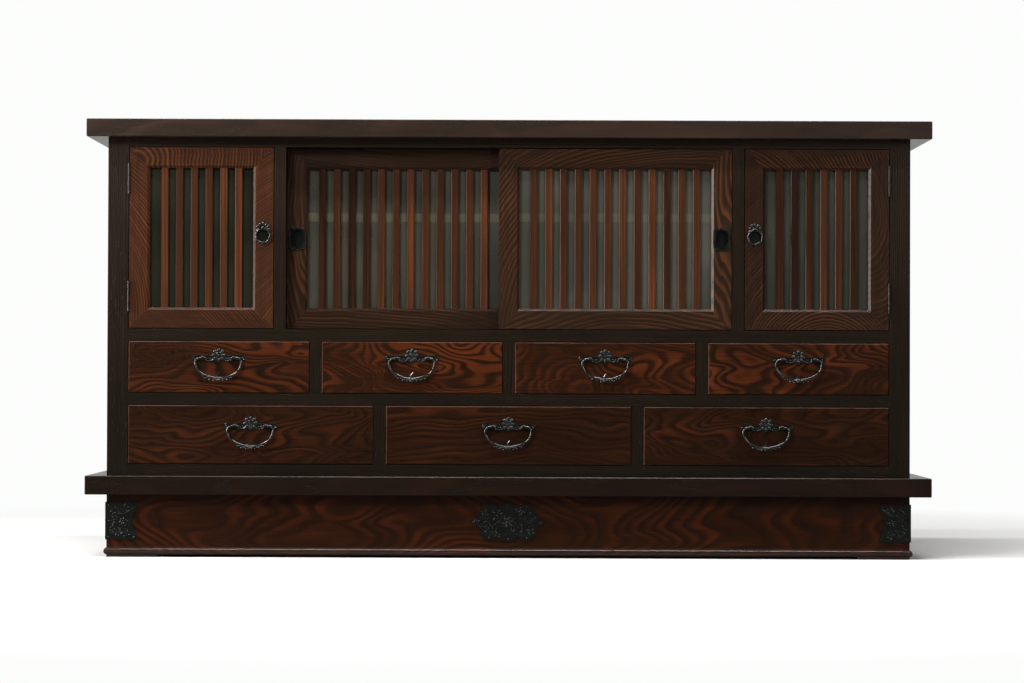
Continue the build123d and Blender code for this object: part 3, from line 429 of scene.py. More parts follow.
@dataclass(frozen=True)
class BoardFinish:
    """One board, or a set of boards that all run the same way.

    With a face (left, right, low, high) the arrises round it are painted lighter: a little rubbed wear all round, and
    a painted highlight along the top and the left, where the light catches them. What is lower than polish_under, such
    as a foot moulding, has a coat of hard polish.
    """

    name: str
    tone: WoodTone
    run: Run
    centre: Spot
    figure: Figure
    seed: float
    tint: float = 0.5
    face: tuple[float, float, float, float] | None = None
    polish_under: float = 0.0

    def make(self) -> Finish:
        """Builds the finish.

        Returns:
            The material.
        """
        board = NodeBoard(bpy.data.materials.new(self.name))
        at = (board.x, board.y, board.z)
        field = WoodField(board, *(at[axis] - self.centre[axis] for axis in self.run.value), self.seed)
        worn, coat = 0.0, 0.0
        if self.face:
            left, right, low, high = self.face
            # Painted highlight: the top and left arrises are painted much lighter, where the light catches them; the
            # right and lower ones only a little, as wear
            to_highlit_edges = board.math("MINIMUM", board.x - left, high - board.z)
            far = board.math("MINIMUM", right - board.x, board.z - low)
            patchy = board.level(board.noise(field.stretched(9.0, 9.0)), 0.35, 0.6, 0.35, 1.0)
            worn = board.level(to_highlit_edges, *mm(2.4, 0.8)) * patchy * 0.62 + board.level(far, *mm(1.6, 0.4)) * 0.12
        if self.polish_under:
            coat = board.level(board.z, self.polish_under + 1.0 * MM, self.polish_under)
        return field.finish(self.tone, field.rings(self.tone, self.figure), self.tint, worn, coat)


@dataclass(frozen=True)
class CaseFinish:
    """The posts, rails and uprights of the case: upright pieces and level ones parted by where they are.

    Levels are the low and high edges of the rails between the posts, whose inner faces are at posts_at.
    """

    name: str
    tone: WoodTone
    levels: Sequence[Point]
    posts_at: float
    seed: float
    figure: Figure = Figure(0.2, 0.05, 9.0, 12.0 * MM)

    def make(self) -> Finish:
        """Builds the finish.

        Returns:
            The material.
        """
        board = NodeBoard(bpy.data.materials.new(self.name))
        bands = [(board.z > low) * (board.z < high) for low, high in self.levels]
        flat = sum(bands[1:], bands[0]) * (1.0 - (board.math("ABSOLUTE", board.x) > self.posts_at))
        along = board.z + (board.x - board.z) * flat
        across = board.x + (board.z - board.x) * flat
        field = WoodField(board, along, across, board.y, flat * 3.1 + self.seed)
        # Painted shade: the case is stained darker towards the foot, where less light falls
        tint = board.level(board.z, 0.15, 0.90, 0.22, 0.72)
        return field.finish(self.tone, field.rings(self.tone, self.figure), tint)


@dataclass(frozen=True)
class DoorFinish:
    """The four mitred members of a door, each with its own figure, parted along the mitres.

    The figures and tints are of the left and right stile, then the foot and the head. A member's middle line lies
    middle from the door's edge.
    """

    name: str
    tone: WoodTone
    left: float
    right: float
    low: float
    high: float
    figures: Sequence[Figure]
    tints: Sequence[float]
    seed: float
    seed_step: float = 2.3
    middle: float = 21.75 * MM

    def make(self) -> Finish:
        """Builds the finish.

        Returns:
            The material.
        """
        board = NodeBoard(bpy.data.materials.new(self.name))
        x, z = board.x, board.z
        middle_x, middle_z = (self.left + self.right) / 2, (self.low + self.high) / 2
        to_side = board.math("MINIMUM", x - self.left, self.right - x)
        stile = to_side < board.math("MINIMUM", z - self.low, self.high - z)
        rail = 1.0 - stile
        rightward, upward = x > middle_x, z > middle_z
        masks = (stile * (1.0 - rightward), stile * rightward, rail * (1.0 - upward), rail * upward)

        def chosen(numbers: Iterable[float]) -> Value:
            """The number that belongs to the member a point is on."""
            parts = [mask * number for mask, number in zip(masks, numbers)]
            return sum(parts[1:], parts[0])

        line_x = masks[0] * (self.left + self.middle) + masks[1] * (self.right - self.middle)
        line_z = masks[2] * (self.low + self.middle) + masks[3] * (self.high - self.middle)
        along = (z - middle_z) * stile + (x - middle_x) * rail
        across = (x - line_x) * stile + (z - line_z) * rail
        seed = chosen(self.seed + self.seed_step * i for i in range(4))
        field = WoodField(board, along, across, board.y, seed)
        figure = Figure(*(chosen(numbers) for numbers in zip(*map(astuple, self.figures))))
        return field.finish(self.tone, field.rings(self.tone, figure), chosen(self.tints))


@dataclass(frozen=True)
class Sticks:
    """Which bars of a lattice, counted from the left, were cut from a paler or a darker stick than the others."""

    common: float
    pale: tuple[int, ...]
    dark: tuple[int, ...] = ()
    paler: float = 0.20
    darker: float = -0.22


@dataclass(frozen=True)
class LatticeFinish:
    """Upright bars cut from different sticks, each a shade of its own."""

    name: str
    tone: WoodTone
    first: float
    pitch: float
    seed: float
    sticks: Sticks

    def make(self) -> Finish:
        """Builds the finish.

        Returns:
            The material.
        """
        board = NodeBoard(bpy.data.materials.new(self.name))
        number = board.math("ROUND", (board.x - self.first) / self.pitch)
        sticks = self.sticks
        shade = board.steady(number + self.seed) * 0.10 + (sticks.common - 0.05)
        for bars, change in ((sticks.pale, sticks.paler), (sticks.dark, sticks.darker)):
            for bar in bars:
                shade = shade + board.math("COMPARE", number, float(bar), 0.1) * change
        across = board.x - self.first - number * self.pitch
        field = WoodField(board, board.z, across, board.y, number * 1.7 + self.seed)
        heart = board.steady(number + (self.seed + 11.0)) * 0.06 - 0.03
        return field.finish(self.tone, field.rings(self.tone, Figure(heart * 9.0, heart, 60.0, 2.0 * MM)), shade)


# --- Iron and glass ---


@dataclass(frozen=True)
class IronFinish:
    """Forged iron, blackened and waxed: hammered, rubbed grey where hands and edges meet it.

    The hammer marks are so many metres deep.
    """

    name: str
    shadow: Colour
    rubbed: Colour
    wear: float
    metal: float
    roughness: float
    hammer: float
    specular: float = 0.4
    rust: Colour = srgb(46, 30, 20)

    def make(self) -> Finish:
        """Builds the finish.

        Returns:
            The material.
        """
        board = NodeBoard(bpy.data.materials.new(self.name))
        at = board.point(board.x, board.y, board.z)
        blows = board.noise(at, scale=230.0)
        grit = board.noise(at, scale=1900.0)
        worn = board.level(board.noise(at, 3.0, scale=90.0) + blows * 0.6, 0.62, 1.00)
        rust = board.level(board.noise(at, 4.0, scale=95.0), 0.62, 0.78)
        shader = board.surface(
            blows * 0.8 + grit * 0.2,
            self.hammer,
            Base_Color=board.mix(rust * 0.12, board.mix(worn * self.wear, self.shadow, self.rubbed), self.rust),
            Metallic=self.metal + worn * 0.35,
            Roughness=self.roughness + grit * 0.08 - worn * 0.04 + rust * 0.10,
            Specular_IOR_Level=self.specular,
        )
        return board.close(shader)


class Iron(Enum):
    """The kinds of iron on the cabinet."""

    PLATE = IronFinish("blackened iron", srgb(5, 6, 5), srgb(36, 41, 36), 0.5, 0.10, 0.30, 0.12 * MM, 0.25)
    RELIEF = IronFinish("waxed iron", srgb(5, 6, 5), srgb(60, 66, 60), 0.35, 0.08, 0.15, 0.06 * MM, 0.50)
    RAISED = IronFinish("rubbed iron", srgb(4, 5, 4), srgb(80, 84, 78), 0.22, 0.06, 0.07, 0.02 * MM, 0.9)
    HINGE = IronFinish("hinge iron", srgb(14, 13, 11), srgb(66, 60, 53), 0.5, 0.2, 0.34, 0.05 * MM)


@dataclass(frozen=True)
class GlassFinish:
    """Old window glass in front of dark cupboards, drawn as a nearly opaque sheet: grey-green, a little uneven, and
    filmed with age, its colour also standing for painted reflection of the room and painted shade of the cupboard
    behind.

    The lit edge of the shelf behind it, if it has one, is painted on between two heights as a paler band.
    """

    name: str
    tint: Colour
    film: Colour
    seed: float
    shelf: Point | None = None
    painted_shelf_edge: Colour = srgb(108, 104, 84)
    waves: float = 0.2 * MM

    def make(self) -> Finish:
        """Builds the finish.

        Returns:
            The material.
        """
        board = NodeBoard(bpy.data.materials.new(self.name))
        film = board.noise(board.point(board.x + self.seed, board.y, board.z), 4.0, 0.6, 5.0)
        drawn = board.noise(board.point(board.x * 3.0, board.y, board.z * 14.0 + self.seed), 0.0)
        colour = board.mix(board.level(film, 0.3, 0.75), self.tint, self.film)
        # Painted light: the lit edge of the shelf behind is painted on the glass as a paler band
        if self.shelf:
            low, high = self.shelf
            above = board.level(board.z, low - 1.0 * MM, low + 1.0 * MM)
            below = board.level(board.z, high + 1.5 * MM, high - 1.5 * MM)
            colour = board.mix(above * below * board.level(film, 0.3, 0.62, 0.20, 0.42), colour, self.painted_shelf_edge)
        rough = 0.14 + film * 0.08
        shader = board.surface(
            drawn, self.waves, Base_Color=colour, Roughness=rough, Alpha=0.90, Specular_IOR_Level=0.25
        )
        return board.close(shader)


# --- Modelling bench ---


class Bench:
    """Ways of making and joining small pieces with Blender's own operators. Its lengths are in millimetres."""

    @staticmethod
    def pick(*pieces: Piece) -> None:
        """Selects just some pieces, in object mode, and makes the first the active one.

        Args:
            pieces: The pieces, or none to leave nothing selected.
        """
        if bpy.context.mode != "OBJECT":
            bpy.ops.object.mode_set(mode="OBJECT")
        bpy.ops.object.select_all(action="DESELECT")
        for piece in pieces:
            piece.select_set(True)
        if pieces:
            bpy.context.view_layer.objects.active = pieces[0]

    @staticmethod
    def settle(piece: Piece, at: Spot | None = None, scale: Spot = (1, 1, 1), turn: Spot = (0, 0, 0)) -> Piece:
        """Puts a piece's place, turn and scale into its mesh.

        Args:
            piece: The piece.
            at: Where it goes, or None to settle it as it stands.
            scale: How much larger it gets.
            turn: How far it is turned about each axis, in degrees.

        Returns:
            The piece.
        """
        if at:
            piece.location = mm(*at)
            piece.scale = scale
            piece.rotation_euler = [radians(angle) for angle in turn]
        Bench.pick(piece)
        bpy.ops.object.transform_apply(location=True, rotation=True, scale=True)
        return piece

    @staticmethod
    def ball(at: Spot, size: Spot, turn: float = 0.0, segments: int = 12, halved: bool = False) -> Piece:
        """Makes a bead or leaf in the round.

        Args:
            at: Its middle.
            size: Half its size along each axis.
            turn: How far it is turned about the depth axis, in degrees, against the clock.
            segments: How many sides it has.
            halved: Whether only its front half is left.

        Returns:
            The bead.
        """
        Bench.pick()
        bpy.ops.mesh.primitive_uv_sphere_add(segments=segments, ring_count=8, radius=1.0)
        if halved:
            bpy.ops.object.mode_set(mode="EDIT")
            bpy.ops.mesh.select_all(action="SELECT")
            bpy.ops.mesh.bisect(plane_co=(0, 0, 0), plane_no=(0, 1, 0), clear_outer=True, use_fill=True)
            bpy.ops.object.mode_set(mode="OBJECT")
        return Bench.settle(bpy.context.active_object, at, mm(*size), (0, -turn, 0))

    @staticmethod
    def dome(at: Point, size: Spot, turn: float = 0.0, y: float = 0.0) -> Piece:
        """A low boss on a plate at y, so much in half its width, in half its height, and in how far it stands out."""
        wide, high, out = size
        return Bench.ball((at[0], y, at[1]), (wide, out, high), turn, 14, True)

    @staticmethod
    def stud(at: Point, radius: float, out: float, y: float = 0.0) -> Piece:
        """A round boss on a plate whose face is at y."""
        return Bench.dome(at, (radius, radius, out), 0.0, y)

    @staticmethod
    def curve(kind: str, outlines: Iterable[Sequence[Spot]]) -> Piece:
        """Makes a curve.

        Args:
            kind: The kind of its splines.
            outlines: The points of each spline.

        Returns:
            The curve.
        """
        Bench.pick()
        bpy.ops.curve.primitive_nurbs_path_add()
        line = bpy.context.active_object
        line.data.splines.clear()
        for outline in outlines:
            spline = line.data.splines.new(kind)
            spline.points.add(len(outline) - 1)
            for point, spot in zip(spline.points, outline):
                point.co = (*mm(*spot), 1.0)
        return line

    @staticmethod
    def meshed(line: Piece, at: Spot, scale: Spot = (1, 1, 1), turn: Spot = (0, 0, 0)) -> Piece:
        """Makes a curve a mesh.

        Args:
            line: The curve.
            at: Where it goes.
            scale: How much larger it gets.
            turn: How far it is turned about each axis, in degrees.

        Returns:
            The mesh.
        """
        Bench.pick(line)
        bpy.ops.object.convert(target="MESH")
        return Bench.settle(bpy.context.active_object, at, scale, turn)

    @staticmethod
    def wire(points: Sequence[Point], thick: float, thin: float, y: float = 0.0, flat: float = 1.0) -> Piece:
        """Lays a round wire along a smooth line on a plate.

        Args:
            points: The line's control points.
            thick: Its radius at the start.
            thin: Its radius at the end.
            y: The depth of its middle.
            flat: How much it is flattened towards the plate.

        Returns:
            The wire as a mesh.
        """
        line = Bench.curve("NURBS", [[(x, 0.0, z) for x, z in points]])
        spline = line.data.splines[0]
        last = len(points) - 1
        for i, point in enumerate(spline.points):
            point.radius = 1.0 + (thin / thick - 1.0) * i / last
        spline.order_u = min(4, len(points))
        spline.use_endpoint_u = True
        spline.resolution_u = 3
        line.data.bevel_depth = thick * MM
        line.data.bevel_resolution = 2
        line.data.use_fill_caps = True
        return Bench.meshed(line, (0, y, 0), (1, flat, 1))

    @staticmethod
    def plate(outlines: Sequence[Sequence[Point]], thick: float, y: float) -> Piece:
        """Cuts a thin plate to outlines, the first its edge and the others holes in it.

        Args:
            outlines: The points of each outline.
            thick: How thick it is.
            y: The depth of the face it lies on.

        Returns:
            The plate.
        """
        line = Bench.curve("POLY", [[(x, z, 0.0) for x, z in outline] for outline in outlines])
        line.data.dimensions = "2D"
        line.data.fill_mode = "BOTH"
        for spline in line.data.splines:
            spline.use_cyclic_u = True
        line.data.extrude = thick / 2 * MM
        return Bench.meshed(line, (0, y - thick / 2, 0), turn=(90, 0, 0))

    @staticmethod
    def joined(name: str, pieces: Sequence[Piece]) -> Piece:
        """Makes pieces one, smooth, with their faces outwards.

        Args:
            name: The name of the whole.
            pieces: The pieces.

        Returns:
            The whole.
        """
        Bench.pick(*pieces)
        bpy.ops.object.join()
        whole = bpy.context.active_object
        bpy.ops.object.mode_set(mode="EDIT")
        bpy.ops.mesh.select_all(action="SELECT")
        bpy.ops.mesh.remove_doubles(threshold=0.02 * MM)
        bpy.ops.mesh.normals_make_consistent(inside=False)
        bpy.ops.object.mode_set(mode="OBJECT")
        bpy.ops.object.shade_smooth_by_angle(angle=radians(38))
        whole.name = whole.data.name = name
        return whole

    @staticmethod
    def copied(piece: Piece, name: str, matrix: Matrix) -> Piece:
        """Copies a piece, with a mesh of its own.

        Args:
            piece: The piece.
            name: The copy's name.
            matrix: Where the copy goes, in metres.

        Returns:
            The copy.
        """
        Bench.pick(piece)
        bpy.ops.object.duplicate(linked=False)
        twin = bpy.context.active_object
        twin.data.transform(matrix)
        if matrix.determinant() < 0:
            twin.data.flip_normals()
        twin.data.update()
        twin.name = twin.data.name = name
        return twin


@dataclass(frozen=True)
class Scroll:
    """A closing scroll: its eye, its radius and angle at the start, its turns, and 1 if it runs against the clock."""

    eye: Point
    radius: float
    turns: float
    start: float
    hand: int
    closing: float = 0.78

    def at(self, part: float) -> tuple[float, float]:
        """The radius and the angle at a part of the way in, from 0 to 1."""
        return self.radius * (1.0 - self.closing * part), self.start + self.hand * self.turns * 360 * part

    def points(self, steps: int) -> list[Point]:
        """The points of its line, from the outside in."""
        return [around(self.eye, *self.at(i / steps)) for i in range(steps + 1)]


# --- Ironwork ---


@dataclass
class Bail:
    """A bow-shaped drop handle, its grip dressed with a blossom, leaves and a thin stem.

    Each hanging bead or leaf has its place along the grip, its drop, its half width and height, and its tilt.
    """

    rod: float = 2.7
    out: float = 7.5
    pin_end: float = 28.75
    side: float = 49.0
    shoulder: float = 9.0
    side_radius: float = 27.6
    side_turn: float = 58.0
    knob: float = 3.1
    hanging: Sequence[tuple[float, float, float, float, float]] = (
        (9.8, 5.6, 2.4, 2.3, 0),
        (14.6, 3.4, 2.7, 1.5, 35),
        (19.0, 5.6, 2.5, 2.4, 0),
        (23.8, 3.2, 2.6, 1.5, 35),
        (28.4, 5.4, 2.3, 2.2, 0),
        (33.0, 3.0, 1.9, 1.8, 0),
    )
    petal: Spot = (2.7, 1.9, 1.9)
    stem: Sequence[Point] = ((-6.0, -43.0), (-4.4, -38.5), (-1.6, -33.8), (2.4, -29.2))

    @property
    def bow_radius(self) -> float:
        """The radius of the grip's long curve."""
        lean = cos(radians(self.side_turn))
        return (self.side - self.side_radius + self.side_radius * lean) / lean

    @property
    def drop(self) -> float:
        """How far the middle of the grip hangs below the eyes."""
        rise = sin(radians(self.side_turn))
        return self.bow_radius * (1 - rise) + self.shoulder + self.side_radius * rise

    def bend(self) -> Piece:
        """Bends the bare rod: a round bar drawn out of one eye, spun round three bends, and mirrored.

        Returns:
            The rod.
        """
        Bench.pick()
        eye = mm(-self.pin_end, -self.out, 0)
        bpy.ops.mesh.primitive_circle_add(vertices=14, radius=self.rod * MM, location=eye, rotation=(0, pi / 2, 0))
        half = Bench.settle(bpy.context.active_object)
        bpy.ops.object.mode_set(mode="EDIT")
        bpy.ops.mesh.select_all(action="SELECT")
        reach = self.side - self.shoulder - self.pin_end
        bpy.ops.mesh.extrude_region_move(TRANSFORM_OT_translate={"value": mm(-reach, 0, 0)})
        bends = (
            (self.shoulder - self.side, -self.shoulder, 90.0, 10),
            (self.side_radius - self.side, -self.shoulder, self.side_turn, 12),
            (0.0, self.bow_radius - self.drop, 90.0 - self.side_turn, 14),
        )
        for x, z, angle, steps in bends:
            middle = mm(x, -self.out, z)
            bpy.ops.mesh.spin(steps=steps, angle=radians(angle), center=middle, axis=(0, 1, 0), dupli=False)
        bpy.ops.object.mode_set(mode="OBJECT")
        mirror = half.modifiers.new("other half", "MIRROR")
        mirror.use_clip = True
        mirror.merge_threshold = 0.2 * MM
        bpy.ops.object.modifier_apply(modifier=mirror.name)
        return half

    def garland(self) -> list[Piece]:
        """Makes the blossom, the beads and leaves that hang beside it, and the stem.

        Returns:
            The pieces.
        """
        y = -self.out
        made = []
        for side in (-1, 1):
            made.append(Bench.ball((side * self.pin_end, y, 0), (self.knob,) * 3))
            for x, hang, wide, tall, tilt in self.hanging:
                z = self.bow_radius - self.drop - sqrt(self.bow_radius**2 - x * x) - hang
                slope = degrees(x / self.bow_radius)
                made.append(Bench.ball((side * x, y - 0.5, z), (wide, 2.2, tall), side * (slope - tilt)))
        foot = -1.6 - self.drop
        for turn in range(0, 360, 60):
            # The blossom is an oval, wider than it is high
            x, z = 5.0 * cos(radians(turn)), foot + 2.9 * sin(radians(turn))
            made.append(Bench.ball((x, y - 1.4, z), self.petal, turn))
        for side in (-1, 1):
            made.append(Bench.ball((side * 8.6, y - 0.8, foot + 0.6), (2.6, 2.4, 1.8)))
        made.append(Bench.ball((0, y - 2.4, foot), (2.0, 1.9, 1.8)))
        return [*made, Bench.wire(self.stem, 1.25, 0.7, y)]

    def make(self) -> Piece:
        """The whole bail, with its eyes' line at the origin's height."""
        return Bench.joined("bail_pattern", [self.bend(), *self.garland()])


@dataclass
class PullRelief:
    """What is raised on a drawer's pull plate: rim wires, the petalled crest, scrolls and rivets.

    A leaf has its middle and its turn. The rim and the leaves are of the right half.
    """

    face: float = -2.0
    crest: Point = (0.0, 6.0)
    petals: int = 8
    petal: Spot = (4.6, 3.9, 1.9)
    petal_reach: float = 10.6
    beads: int = 7
    bead_reach: float = 4.9
    rivets: Sequence[Point] = ((-51.5, -0.2), (51.5, -0.2), (-17.0, -1.2), (17.0, -1.2))
    rim: Sequence[Point] = ((14, 5.6), (30, 5.7), (48, 5.7), (53, 5.4), (56, 3.4), (56.4, 0.6), (55, -2.2), (52, -3.6))
    leaf: Spot = (3.0, 1.4, 1.6)
    leaves: Sequence[Spot] = ((13.5, -5.0, -35), (19.0, -6.0, -10), (26.5, -4.8, 25))

    def blossom(self) -> list[Piece]:
        """Makes the crest: domed petals round a beaded middle.

        Returns:
            The pieces.
        """
        made = []
        for i in range(self.petals):
            turn = 360 / self.petals * i
            made.append(Bench.dome(around(self.crest, self.petal_reach, turn), self.petal, turn, self.face))
        made.append(Bench.stud(self.crest, 7.4, 1.2, self.face))
        for i in range(self.beads):
            at = around(self.crest, self.bead_reach, 360 / self.beads * i)
            made.append(Bench.stud(at, 1.1, 1.9, self.face))
        return [*made, Bench.stud(self.crest, 2.4, 2.5, self.face)]

    def side(self, side: int) -> list[Piece]:
        """Makes the leaves that curl out of the crest under one half of the bar.

        Args:
            side: -1 for the left, 1 for the right.

        Returns:
            The pieces.
        """
        hook = Scroll((side * 23.0, -2.6), 4.2, 1.1, 90 - side * 150, side)
        lead = [(side * 11.0, -2.4), (side * 15.0, -5.4)]
        made = [Bench.wire([*lead, *hook.points(10)], 1.25, 0.6, self.face)]
        return made + [Bench.dome((side * x, z), self.leaf, side * turn, self.face) for x, z, turn in self.leaves]

    def make(self) -> Piece:
        """Makes the whole relief.

        Returns:
            The relief, with the bail's line at the origin's height.
        """
        rims = [Bench.wire([(side * x, z) for x, z in self.rim], 0.85, 0.7, self.face) for side in (-1, 1)]
        pieces = [*rims, *self.blossom(), *self.side(-1), *self.side(1)]
        pieces += [Bench.stud(at, 1.9, 1.5, self.face) for at in self.rivets]
        return Bench.joined("pull_relief_pattern", pieces)


@dataclass
class RingPull:
    """A door's ring, and what is raised on the plate behind it: a beaded crown and a rim.

    Each knob at the ring's foot has its turn and how far it stands out.
    """

    out: float = 7.05
    radius: float = 15.0
    rod: float = 2.1
    knobs: Sequence[Point] = ((-145, 0.9), (-119, 1.5), (-90, 1.5), (-61, 1.5), (-35, 0.9))
    face: float = -2.0
    plate: float = 13.6
    crown: float = 11.6
    crown_start: float = -12.0
    crown_step: float = 34.0

    def ring(self) -> Piece:
        """Makes the ring, with knobs round its foot.

        Returns:
            The ring, hanging from the origin.
        """
        Bench.pick()
        bpy.ops.mesh.primitive_torus_add(
            major_segments=56,
            minor_segments=14,
            major_radius=self.radius * MM,
            minor_radius=self.rod * MM,
            location=mm(0, -self.out, -self.radius),
            rotation=(pi / 2, 0, 0),
        )
        pieces = [Bench.settle(bpy.context.active_object)]
        for turn, stands in self.knobs:
            x, z = around((0, -self.radius), self.radius + stands, turn)
            pieces.append(Bench.ball((x, -self.out, z), (2.2, 1.9, 2.2)))
        return Bench.joined("ring_pattern", pieces)

    def relief(self) -> Piece:
        """Makes the crown's domed petals with beads between them, and the rim of the round plate.

        Returns:
            The relief, with the ring's eye at the origin.
        """
        made = []
        turns = [self.crown_start + self.crown_step * i for i in range(7)]
        for turn in turns:
            made.append(Bench.dome(around((0, 0), self.crown, turn), (3.6, 3.2, 1.9), turn, self.face))
            made.append(Bench.stud(around((0, 0), self.crown * 0.62, turn), 1.3, 2.1, self.face))
        for turn in turns[:-1]:
            made.append(Bench.stud(around((0, 0), 13.4, turn + self.crown_step / 2), 0.9, 1.6, self.face))
        made.append(Bench.dome((0, 1.0), (5.2, 4.6, 1.5), 0, self.face))
        rim = [around((0, -self.radius), self.plate, turn) for turn in range(200, 341, 14)]
        made.append(Bench.wire(rim, 0.6, 0.6, self.face))
        return Bench.joined("rosette_relief_pattern", made)


@dataclass
class FlushRim:
    """The face of a flush pull: a plate with rounded corners and an arched head and foot, beaded round its edge."""

    half_w: float = 18.1
    half_h: float = 24.8
    corner: float = 6.5
    arch: float = 1.6
    mouth: float = 5.4
    thick: float = 0.5
    face: float = -1.2
    bead: float = 1.05
    bead_pitch: float = 2.62

    def outline(self, inset: float) -> list[Point]:
        """Draws the rim's outline.

        Args:
            inset: How far it is drawn in from the edge.

        Returns:
            Its points, against the clock from the right.
        """
        corner = max(self.corner - inset * 0.7, 2.0)
        reach_x, reach_z = self.half_w - inset - corner, self.half_h - inset - self.arch - corner
        points = []
        for side, level, start in ((1, 1, 0), (-1, 1, 90), (-1, -1, 180), (1, -1, 270)):
            points += [around((side * reach_x, level * reach_z), corner, start + 18 * i) for i in range(6)]
            if start in (0, 180):
                for part in (0.5, 0.0, -0.5):
                    rise = reach_z + corner + self.arch * (1.0 - part * part)
                    points.append((side * reach_x * part, level * rise))
        return points

    def beads(self) -> list[Piece]:
        """Sets beads close together all round the rim.

        Returns:
            The beads.
        """
        corners = self.outline(1.5)
        made, owed = [], 0.0
        for start, end in zip(corners, corners[1:] + corners[:1]):
            run = (end[0] - start[0], end[1] - start[1])
            length = hypot(*run)
            while owed < length:
                at = (start[0] + run[0] * owed / length, start[1] + run[1] * owed / length)
                made.append(Bench.stud(at, self.bead, 0.9, self.face))
                owed += self.bead_pitch
            owed -= length
        return made

    def make(self) -> Piece:
        """The plate, open in the middle, with its beads."""
        plate = Bench.plate([self.outline(0.0), self.outline(self.mouth)], self.thick, self.face)
        return Bench.joined("flush_rim_pattern", [plate, *self.beads()])


@dataclass
class ScrollRelief:
    """Arabesque relief for a plinth iron: closing scrolls, leaves, blossoms and chased strokes between them.

    The strokes fill the plate from speck_from to speck_to, whose ends lean by speck_left and speck_right.
    """

    scrolls: Sequence[Scroll]
    blossoms: Sequence[tuple[Point, float]]
    stems: Sequence[Sequence[Point]]
    rivets: Sequence[Point]
    specks: int
    speck_from: float
    speck_to: float
    speck_high: float
    speck_left: float = 0.0
    speck_right: float = 0.0

    def scroll(self, scroll: Scroll) -> list[Piece]:
        """Makes one scroll with the boss in its eye and the leaves that stand off its outside.

        Args:
            scroll: Its line.

        Returns:
            The pieces.
        """
        points = scroll.points(14)
        made = [Bench.wire(points, 1.5, 0.8, 0.0, 0.8), Bench.stud(points[-1], 1.9, 1.6)]
        for part in (0.12, 0.30, 0.50, 0.72):
            reach, turn = scroll.at(part)
            made.append(Bench.dome(around(scroll.eye, reach + 2.6, turn), (3.4, 1.5, 1.3), turn + scroll.hand * 50))
        return made

    def blossom(self, middle: Point, radius: float) -> list[Piece]:
        """Makes a small six-petalled flower.

        Args:
            middle: Its middle.
            radius: Its radius.

        Returns:
            The pieces.
        """
        made = [Bench.stud(middle, radius * 0.34, 1.9)]
        for turn in range(15, 375, 60):
            at = around(middle, radius * 0.66, turn)
            made.append(Bench.dome(at, (radius * 0.36, radius * 0.27, 1.4), turn))
        return made

    def strokes(self) -> Iterable[Piece]:
        """Chases short slanting strokes between the scrolls, scattered the same way each time.

        Yields:
            The strokes.
        """
        chance = Random(7)
        for _ in range(self.specks):
            z = chance.uniform(-self.speck_high, self.speck_high)
            x = chance.uniform(self.speck_from - abs(z) * self.speck_left, self.speck_to + abs(z) * self.speck_right)
            size = (chance.uniform(1.6, 4.2), 1.0, 1.5)
            yield Bench.dome((x, z), size, chance.uniform(15, 75))

    def make(self, name: str) -> Piece:
        """Makes the whole relief.

        Args:
            name: Its name.

        Returns:
            The relief, flat on the plane of the origin.
        """
        made = [piece for scroll in self.scrolls for piece in self.scroll(scroll)]
        made += [Bench.wire(stem, 1.4, 0.9, 0.0, 0.8) for stem in self.stems]
        made += [piece for middle, radius in self.blossoms for piece in self.blossom(middle, radius)]
        made += [Bench.stud(at, 2.0, 1.5) for at in self.rivets]
        return Bench.joined(name, [*made, *self.strokes()])


CENTRE_SCROLLS = ScrollRelief(
    scrolls=(
        Scroll((-24, 12), 13, 1.3, 250, 1),
        Scroll((24, -12), 13, 1.3, 70, 1),
        Scroll((-50, -8), 13, 1.3, 60, -1),
        Scroll((50, 8), 13, 1.3, 240, -1),
        Scroll((-26, -22), 8, 1.1, 20, -1),
        Scroll((26, 22), 8, 1.1, 200, -1),
        Scroll((-50, 19), 6.5, 1.1, 300, 1),
        Scroll((50, -19), 6.5, 1.1, 120, 1),
    ),
    blossoms=(((0, 0), 12), ((-70, 2), 5), ((70, -2), 5)),
    stems=(
        ((-8, -6), (-20, -12), (-34, -10), (-44, 2), (-56, 10)),
        ((8, 6), (20, 12), (34, 10), (44, -2), (56, -10)),
        ((-4, 10), (-10, 22), (-22, 30), (-36, 28)),
        ((4, -10), (10, -22), (22, -30), (36, -28)),
    ),
    rivets=((-74, 0), (74, 0), (0, 36), (0, -36), (-40, 33), (40, -33), (40, 33), (-40, -33)),
    specks=46,
    speck_from=-68.0,
    speck_to=68.0,
    speck_high=32.0,
    speck_left=-0.9,
    speck_right=-0.9,
)
CORNER_SCROLLS = ScrollRelief(
    scrolls=(
        Scroll((18, 20), 12, 1.3, 200, 1),
        Scroll((18, -20), 12, 1.3, 160, -1),
        Scroll((43, 26), 8, 1.1, 230, -1),
        Scroll((43, -26), 8, 1.1, 130, 1),
    ),
    blossoms=(((36, 0), 8), ((60, 34), 3.5), ((60, -34), 3.5)),
    stems=(
        ((6, 0), (14, 3), (24, 4), (30, 2)),
        ((6, -3), (14, -5), (22, -4), (29, -2)),
        ((28, 14), (38, 14), (50, 22), (60, 30)),
        ((28, -14), (38, -14), (50, -22), (60, -30)),
    ),
    rivets=((5, 34), (5, -34), (5, 0), (46, 0)),
    specks=26,
    speck_from=4.0,
    speck_to=42.0,
    speck_high=35.0,
    speck_right=0.4,
)


# --- The cabinet ---

SIDES = (("left", -1), ("right", 1))


